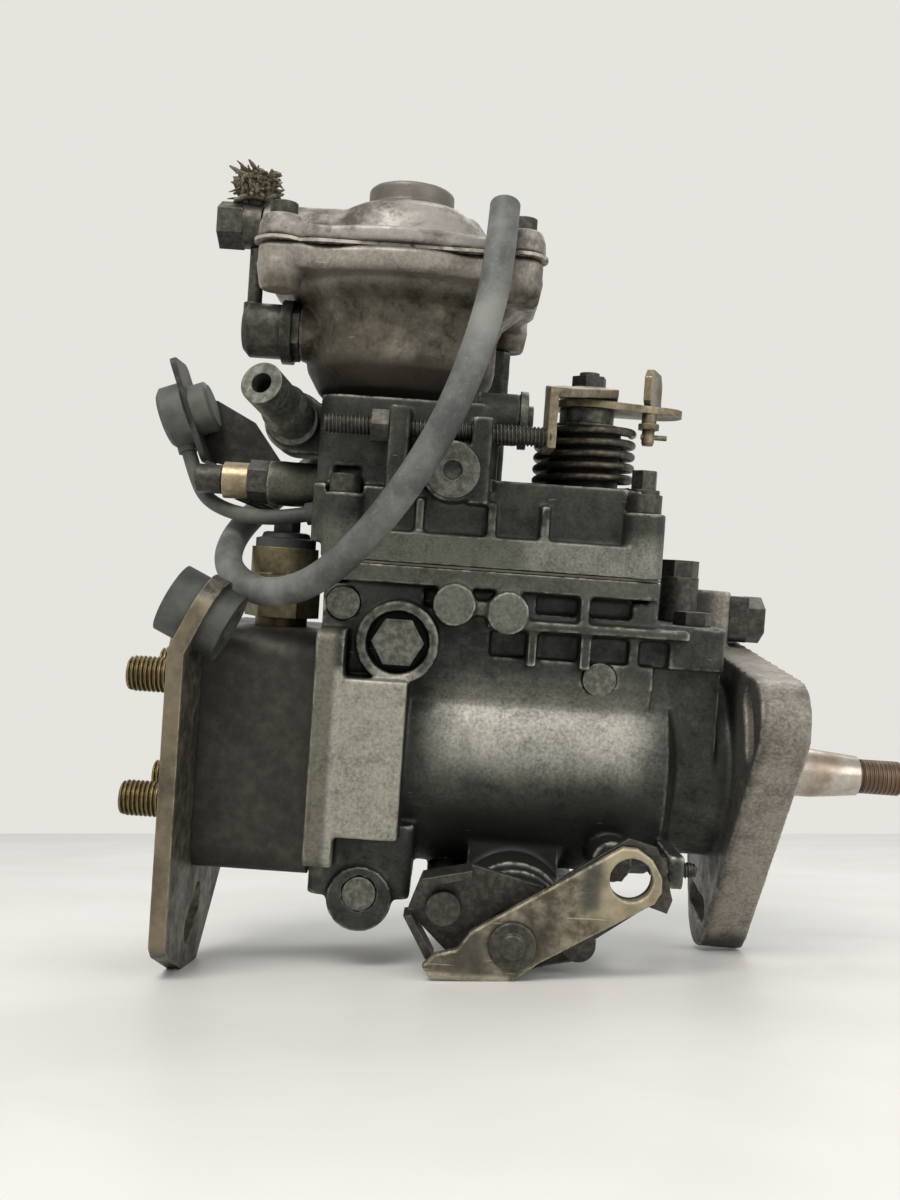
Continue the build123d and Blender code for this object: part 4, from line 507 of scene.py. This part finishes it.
# Castings
def cast_surface(piece, voxel_mm, rounds, ripple_mm=0.0):
    """Gives a piece a fine mesh with rounded edges and corners, and a faint ripple if asked."""
    remesh = piece.modifiers.new("fine_mesh", "REMESH")
    remesh.mode = "VOXEL"
    remesh.voxel_size = voxel_mm * MM
    remesh.use_smooth_shade = True
    smooth = piece.modifiers.new("cast_edges", "SMOOTH")
    smooth.factor = 0.5
    smooth.iterations = rounds
    if ripple_mm > 0:
        texture = bpy.data.textures.new(piece.name + "_ripple", "CLOUDS")
        texture.noise_scale = 0.006
        displace = piece.modifiers.new("cast_ripple", "DISPLACE")
        displace.texture = texture
        displace.strength = ripple_mm * MM
        displace.mid_level = 0.5


cast_surface(nodes["pump_housing"], 0.75, 4, 0.3)
cast_surface(nodes["governor_cover"], 0.7, 4, 0.3)
cast_surface(nodes["timing_covers"], 0.7, 2, 0.2)


# Turned, hexagonal and threaded pieces
SHARP_ANGLE = math.radians(32)
LEAD_IN_MM = 1.5


def mesh_piece(name, vertices, faces, smooth):
    """A new mesh object, shaded smooth across all edges but sharp ones where asked."""
    mesh = bpy.data.meshes.new(name)
    mesh.from_pydata(vertices, [], faces)
    if smooth:
        mesh.polygons.foreach_set("use_smooth", [True] * len(mesh.polygons))
        mesh.set_sharp_from_angle(angle=SHARP_ANGLE)
    return linked(name, mesh)


def ring_solid(name, origin, direction, stations, segments=72):
    """A solid made of rings along a line: stations are (distance, radius or radius by angle), in mm."""
    axis = Vector(direction).normalized()
    side = Vector((0, 0, 1)) if abs(axis.z) < 0.9 else Vector((1, 0, 0))
    u = side.cross(axis).normalized()
    v = axis.cross(u)
    start = Vector(origin)
    vertices = []
    faces = []
    for distance, radius in stations:
        for k in range(segments):
            angle = 2 * math.pi * k / segments
            r = radius(angle, distance) if callable(radius) else radius
            way = u * math.cos(angle) + v * math.sin(angle)
            vertices.append(tuple((start + axis * distance + way * r) * MM))
    for ring in range(len(stations) - 1):
        for k in range(segments):
            a = ring * segments + k
            b = ring * segments + (k + 1) % segments
            faces.append((a, b, b + segments, a + segments))
    faces.append(tuple(reversed(range(segments))))
    last = (len(stations) - 1) * segments
    faces.append(tuple(last + k for k in range(segments)))
    return mesh_piece(name, vertices, faces, True)


def thread_radius(radius, pitch, depth, start, end):
    """Radius of a helical thread by angle and distance, with tapered ends."""

    def at(angle, distance):
        phase = (distance / pitch - angle / (2 * math.pi)) % 1.0
        groove = min(1.0, max(0.0, 1.25 - abs(phase - 0.5) * 3.4))
        rise = min(1.0, (distance - start) / LEAD_IN_MM, (end - distance) / LEAD_IN_MM)
        return radius - depth * groove - max(0.0, 1 - max(rise, 0)) * 0.4

    return at


def thread_stations(start, end, radius, pitch, depth):
    """Stations of a thread for ring_solid, eight to a turn."""
    count = max(2, int((end - start) / pitch * 8))
    shape = thread_radius(radius, pitch, depth, start, end)
    return [(start + (end - start) * k / count, shape) for k in range(count + 1)]


def hex_radius(across):
    """Radius of a hexagon by angle, from its width across flats."""

    def at(angle, distance):
        wedge = (angle % (math.pi / 3)) - math.pi / 6
        return across / 2 / math.cos(wedge)

    return at


def place_piece(piece, body, material, *replaced):
    """Puts a piece on its body, with its material, in place of the CAD nodes named."""
    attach(piece, body)
    piece.data.materials.append(material)
    if replaced:
        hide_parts(*replaced)


def joined(name, pieces):
    """One object out of several meshes."""
    vertices = []
    faces = []
    for piece in pieces:
        base = len(vertices)
        vertices.extend(tuple(v.co) for v in piece.data.vertices)
        faces.extend(tuple(base + i for i in p.vertices) for p in piece.data.polygons)
        bpy.data.objects.remove(piece)
    return mesh_piece(name, vertices, faces, True)


def plate_solid(name, outline, origin, across, up, thickness):
    """A flat plate: outline points in mm in the plane of across and up, thick along their cross product."""
    across = Vector(across).normalized()
    up = Vector(up).normalized()
    normal = across.cross(up).normalized()
    start = Vector(origin)
    count = len(outline)
    twice_area = sum(a[0] * b[1] - b[0] * a[1] for a, b in zip(outline, outline[1:] + outline[:1]))
    if twice_area < 0:
        outline = outline[::-1]
    vertices = []
    for depth in (0.0, thickness):
        for a, b in outline:
            vertices.append(tuple((start + across * a + up * b + normal * depth) * MM))
    faces = [tuple(reversed(range(count))), tuple(range(count, 2 * count))]
    faces += [(k, (k + 1) % count, count + (k + 1) % count, count + k) for k in range(count)]
    return mesh_piece(name, vertices, faces, False)


def cut(piece, cutters):
    """Takes the cutters' volume out of a piece for good."""
    for cutter in cutters:
        boolean = piece.modifiers.new("cut", "BOOLEAN")
        boolean.operation = "DIFFERENCE"
        boolean.solver = "EXACT"
        boolean.object = cutter
    graph = bpy.context.evaluated_depsgraph_get()
    mesh = bpy.data.meshes.new_from_object(piece.evaluated_get(graph))
    piece.modifiers.clear()
    piece.data = mesh
    for cutter in cutters:
        bpy.data.objects.remove(cutter)
    return piece


# Boost unit: round flange between the screw lobes, where the solids have a square one
BOOST_X = -134.5
BOOST_SCREWS = [(sx * 38.0, sy * 38.0) for sx in (-1, 1) for sy in (-1, 1)]
FLANGE_RADIUS = 48.0
FLANGE_HALF_WIDTH = 46.2
LOBE_REACH = 13.4
LOBE_SPREAD = 0.2  # radians


def flange_radius(inset):
    """Radius by angle of a disc that is flat toward -X and +X and has a lobe round each screw."""

    def at(angle, distance):
        across = abs(math.sin(angle))
        from_lobe = math.atan2(abs(math.cos(angle)), across) - math.pi / 4
        radius = FLANGE_RADIUS + LOBE_REACH * math.exp(-((from_lobe / LOBE_SPREAD) ** 2))
        return min(radius, FLANGE_HALF_WIDTH / max(across, 0.001)) - inset

    return at


def boost_flange(name, low, high, edge):
    """The flange between two heights, with its edges cut back."""
    stations = [(0, flange_radius(edge)), (edge, flange_radius(0)), (high - low - edge, flange_radius(0)),
                (high - low, flange_radius(edge))]
    return ring_solid(name, (BOOST_X, 0, low), (0, 0, 1), stations, 240)


def boost_body():
    """Bowl with its flange, screw lobes and port."""
    pieces = [
        boost_flange("flange", 154.2, 161.9, 1.4),
        ring_solid("bowl", (BOOST_X, 0, 117), (0, 0, 1), [
            (0, 23.5), (4, 28), (11, 32.2), (15, 33), (26, 33), (31, 35), (34.5, 39), (37.5, 42)], 96),
        ring_solid("port", (-168.4, -10, 140), (1, 0, 0), [(0, 9.2), (0.5, 9.6), (14, 9.6)], 48),
    ]
    for x, y in BOOST_SCREWS:
        profile = [(0, 5.6), (1, 6.4), (8, 7.6)]
        pieces.append(ring_solid("lobe", (BOOST_X + x, y, 147.5), (0, 0, 1), profile, 40))
    return joined("boost_bowl_casting", pieces)


def boost_lid():
    """Lid with its dome, screw seats and the arm that feeds it."""
    pieces = [
        boost_flange("lid_flange", 163.1, 167.9, 0.8),
        ring_solid("dome", (BOOST_X, 0, 166.5), (0, 0, 1), [
            (0, 38), (1.6, 36.5), (2.4, 32.5), (5, 30), (9, 28.4), (12.6, 27.2), (15.6, 25), (18, 21),
            (19.3, 16.8), (19.9, 14.9), (25.7, 14.9), (26.5, 14.3), (26.7, 13.4)], 96),
        ring_solid("feed_arm", (-183.5, -10, 174.6), (1, 0, 0), [(0, 7.0), (0.6, 7.7), (34, 8.4)], 48),
    ]
    for x, y in BOOST_SCREWS:
        profile = [(0, 7.8), (4, 7.4), (6.9, 6.2)]
        pieces.append(ring_solid("screw_seat", (BOOST_X + x, y, 164), (0, 0, 1), profile, 40))
    return joined("boost_lid_casting", pieces)


bowl_piece = boost_body()
place_piece(bowl_piece, "pump", boost_material, "boost_housing")
lid_piece = boost_lid()
place_piece(lid_piece, "pump", lid_material, "boost_cover")
cast_surface(bowl_piece, 0.6, 4, 0.2)
cast_surface(lid_piece, 0.55, 3, 0.2)


# Sheet-metal levers with their outlines as seen
def folded(piece, voxel_mm=0.45, rounds=3):
    """Rounds a lever's folds and edges."""
    cast_surface(piece, voxel_mm, rounds)


ARM_SLOPE = math.radians(10.5)
arm_up = (0, math.cos(ARM_SLOPE), math.sin(ARM_SLOPE))
stop_arm = joined("bent_stop_arm", [
    ring_solid("hub", (-68, 0, 124.4), (0, 0, 1), [(0, 8), (1.5, 8), (1.5, 10.5), (4.6, 10.5)], 60),
    plate_solid("arm", [(-16.9, -37.6), (-11, -37.6), (-8.5, -33), (9.5, -2), (9.5, 3), (-9.5, 3),
                        (-16.9, -17)], (-68, -7, 126), (1, 0, 0), arm_up, 3),
    plate_solid("leg", [(-45, 103), (-24.5, 103), (-24.5, 124.5), (-45, 121)],
                (-84.9, 0, 0), (0, 1, 0), (0, 0, 1), 3),
])
place_piece(stop_arm, "control_lever", gold_zinc, "stop_arm")
folded(stop_arm)

# The cold-start lever: a bright plate in front of a dark one, with one hole through both
PIVOT = (-85.7, -48)
cold_outline = [
    (-112.5, -56.2), (-108.8, -52.5), (-102.2, -50.5), (-98.5, -45), (-58, -18.6), (-54.5, -16.4),
    (-50, -16.6), (-45.5, -19.6), (-42.4, -24.5), (-42, -29), (-44.2, -32.8), (-77.3, -53), (-85.6, -59.5),
    (-109.8, -59.8),
]
rear_outline = [(-92, -46), (-69.3, -25.7), (-52.5, -14.2), (-44, -16.4), (-41, -22.6), (-38.2, -32),
                (-39.6, -36.2), (-45.5, -34.4), (-60, -45), (-84, -57)]
lever_plates = []
for outline, near_y, thickness in ((cold_outline, -61, 3), (rear_outline, -59, 1.8)):
    lever_plate = plate_solid("lever_plate", outline, (0, near_y, 0), (1, 0, 0), (0, 0, 1), thickness)
    cable_hole = ring_solid("cable_hole", (-51.5, -66, -26), (0, 1, 0), [(0, 6.5), (9, 6.5)], 60)
    lever_plates.append(cut(lever_plate, [cable_hole]))
cold_lever = lever_plates[0]
cold_lever.name = "worn_cold_start_lever"
lever_back = joined("cold_start_lever_back", [
    lever_plates[1],
    ring_solid("pivot_ring", (PIVOT[0], -65.6, PIVOT[1]), (0, 1, 0), [(0, 6.9), (0.4, 7.3), (2.4, 7.3)], 48),
    ring_solid("pivot", (PIVOT[0], -66.8, PIVOT[1]), (0, 1, 0), [(0, 3.5), (0.5, 4.0), (31, 4.0)], 40),
    ring_solid("hub", (PIVOT[0], -61.2, PIVOT[1]), (0, 1, 0), [(0, 6.5), (11, 6.5)], 40),
])
place_piece(lever_back, "cold_start_lever", black_steel)
place_piece(cold_lever, "cold_start_lever", lever_steel, "cold_start_lever")
folded(cold_lever, 0.4, 2)

# The solenoid's terminal, which comes in sideways
terminal_tag = ring_solid("solenoid_terminal_tag", (-188.5, -7, 83), (17.5, 3, -5.2), [
    (0, 0.4), (0.4, 0.9), (6, 1.1), (18.3, 1.1), (18.6, 0.6)], 16)
place_piece(terminal_tag, "pump", black_steel)


# Outlets, stop screws and full-load screw with their threads
OUTLET_END_X = -217
OUTLET_CIRCLE_RADIUS = 29.7
OUTLET_BORE = 2.0


def outlet(y, z):
    """One delivery valve holder: hexagon, neck and thread with an open bore."""
    stations = [(0.0, OUTLET_BORE), (0.0, 4.9), (0.4, 5.5)]
    stations += thread_stations(0.6, 16.5, 6.0, 1.5, 0.95)
    stations += [(17.0, 5.4), (17.6, 5.4)]
    stations += [(17.7 + 0.5 * k, hex_radius(14.0)) for k in range(14)]
    stations += [(24.4, 6.8), (43.0, 6.8)]
    body = ring_solid("outlet", (OUTLET_END_X, y, z), (1, 0, 0), stations, 96)
    bore = [(distance, OUTLET_BORE) for distance in (0.0, 0.01, 18.0)]
    hollow = ring_solid("outlet_bore", (OUTLET_END_X, y, z), (1, 0, 0), bore, 48)
    hollow.data.flip_normals()
    return [body, hollow]


outlet_offset = OUTLET_CIRCLE_RADIUS * math.sin(math.radians(45))
outlets = []
for sy in (-1, 1):
    for sz in (-1, 1):
        outlets.extend(outlet(sy * outlet_offset, sz * outlet_offset))
place_piece(joined("threaded_outlets", outlets), "pump", outlet_zinc, "delivery_valve_holders")

stop_screw = ring_solid(
    "stop_screw_thread", (-155, -42, 106.5), (1, 0, 0),
    [(0, 1.8)] + thread_stations(0.3, 73, 3.2, 1.2, 0.55) + [(73.2, 2.2), (73.4, 1.0)], 48,
)
arm_screw = ring_solid(
    "arm_screw_thread", (-44.5, -51, -25), (1, 0, 0),
    [(0, 1.4)] + thread_stations(0.3, 14.6, 2.5, 1.0, 0.45) + [(15, 1.4)], 40,
)
place_piece(joined("threaded_stop_screws", [stop_screw, arm_screw]), "pump", black_steel, "stop_screws")

full_load = ring_solid(
    "full_load_screw_thread", (-202, -8, 88.5), (1, 0, 0),
    [(0, 2.6), (0.01, 4.2), (0.8, 5.0), (9.2, 5.0), (10.0, 4.4)]
    + thread_stations(10.2, 49.5, 4.0, 1.25, 0.6) + [(50, 3.0)], 60,
)
place_piece(full_load, "pump", black_steel, "full_load_screw")


# Frayed end of the braided hose
BRAID_AXIS = (-186.85, -10)
BRAID_TOP_Z = 194.4
STRANDS = 260


def frayed_braid():
    """A short sleeve with loose strands all round, none above the node's top."""
    rng = random.Random(7)
    pieces = [
        ring_solid("braid_sleeve", (*BRAID_AXIS, 183.5), (0, 0, 1),
                   [(0, 4.6), (2, 5.6), (5, 6.2), (8, 5.6), (9.5, 4.0), (10, 2.0)], 40)
    ]
    for _ in range(STRANDS):
        angle = rng.uniform(0, 2 * math.pi)
        height = 183.9 + 9.5 * rng.random()
        radius = 4.2 + rng.uniform(0, 1.8)
        start = Vector((BRAID_AXIS[0] + radius * math.cos(angle), BRAID_AXIS[1] + radius * math.sin(angle),
                        height))
        way = Vector((math.cos(angle), math.sin(angle), rng.uniform(-0.6, 0.9)))
        way += Vector((rng.uniform(-0.7, 0.7), rng.uniform(-0.7, 0.7), rng.uniform(-0.4, 0.4)))
        length = rng.uniform(1.5, 5.0)
        end = start + way.normalized() * length
        end.z = min(end.z, BRAID_TOP_Z)
        thick = rng.uniform(0.35, 0.75)
        pieces.append(ring_solid("strand", start, end - start,
                                 [(0, thick), (length * 0.5, thick * 1.1), (length, thick * 0.4)], 7))
    return joined("frayed_hose_braid", pieces)


braid_material = rubber("frayed_textile", (72, 66, 50), (132, 124, 100), 300, 0.8)
place_piece(frayed_braid(), "pump", braid_material, "braided_hose_stub")
pipe_end = ring_solid("inner_pipe_end", (*BRAID_AXIS, 190), (0, 0, 1),
                      [(0, 2.4), (4.2, 2.4), (4.5, 2.1), (4.5, 1.3), (2.0, 1.2)], 32)
place_piece(pipe_end, "pump", dull_steel)


# Stage: table, wall and light
FLOOR_POINT = Vector((-0.100, -0.0625, -0.0602))
FLOOR_LEAN = math.radians(10.5)
floor_up = Vector((-math.sin(CAMERA_ROLL) * math.cos(FLOOR_LEAN), math.sin(FLOOR_LEAN),
                   math.cos(CAMERA_ROLL) * math.cos(FLOOR_LEAN))).normalized()


def stage_material(name, colour, lit_colour, rough):
    """Pale matt surface with a faint, broad mottle."""
    g = Graph(name)
    tint = g.mix(g.step(g.noise(9, 4), 0.3, 0.7), srgb(*colour), srgb(*lit_colour))
    g.link(tint, g.shader.inputs["Base Color"])
    g.shader.inputs["Roughness"].default_value = rough
    return g.material


def table():
    """The table top under the pump, tilted against it as in the photograph."""
    forward = Vector((0, 1, 0))
    side = forward.cross(floor_up).normalized()
    forward = floor_up.cross(side).normalized()
    corners = [(-0.64, -0.26), (0.64, -0.26), (0.64, 0.93), (-0.64, 0.93)]
    vertices = [tuple(FLOOR_POINT + side * x + forward * y) for x, y in corners]
    piece = mesh_piece("table_top", vertices, [(0, 1, 2, 3)], False)
    piece.data.materials.append(stage_material("white_table", (228, 227, 221), (236, 235, 230), 0.45))


table()


PUMP_CENTRE = (-0.09, 0, 0.06)


def soft_light(name, place, size, power, colour=(1, 1, 1)):
    """A rectangular lamp that looks at the pump."""
    data = bpy.data.lights.new(name, "AREA")
    data.shape = "RECTANGLE"
    data.size = size[0]
    data.size_y = size[1]
    data.energy = power
    data.color = colour
    lamp = linked(name, data)
    lamp.location = place
    way = Vector(PUMP_CENTRE) - Vector(place)
    lamp.rotation_euler = way.to_track_quat("-Z", "Y").to_euler()


soft_light("key_light", (-0.5, -0.7, 1.1), (0.9, 0.6), 13, (1, 0.98, 0.95))
soft_light("fill_light", (0.7, -0.8, 0.6), (0.7, 0.7), 4.5)
soft_light("back_light", (0.1, 0.8, 0.9), (0.9, 0.5), 4)


def backdrop_world():
    """Even light, and a pale wall for what cameras, reflections and glass see."""
    world = bpy.data.worlds.new("pale_wall")
    bpy.context.scene.world = world
    world.use_nodes = True
    tree = world.node_tree
    tree.nodes.clear()
    out = tree.nodes.new("ShaderNodeOutputWorld")
    light = tree.nodes.new("ShaderNodeBackground")
    light.inputs["Color"].default_value = (0.97, 0.98, 1.0, 1)
    light.inputs["Strength"].default_value = 0.45
    wall = tree.nodes.new("ShaderNodeBackground")
    wall.inputs["Color"].default_value = srgb(229, 228, 222)
    wall.inputs["Strength"].default_value = 1.0
    path = tree.nodes.new("ShaderNodeLightPath")
    mix = tree.nodes.new("ShaderNodeMixShader")
    seen = path.outputs["Is Camera Ray"]
    for ray in ("Is Glossy Ray", "Is Transmission Ray"):
        either = tree.nodes.new("ShaderNodeMath")
        either.operation = "MAXIMUM"
        tree.links.new(seen, either.inputs[0])
        tree.links.new(path.outputs[ray], either.inputs[1])
        seen = either.outputs[0]
    tree.links.new(seen, mix.inputs["Fac"])
    tree.links.new(light.outputs[0], mix.inputs[1])
    tree.links.new(wall.outputs[0], mix.inputs[2])
    tree.links.new(mix.outputs[0], out.inputs["Surface"])


backdrop_world()
bpy.context.scene.view_settings.view_transform = "Standard"
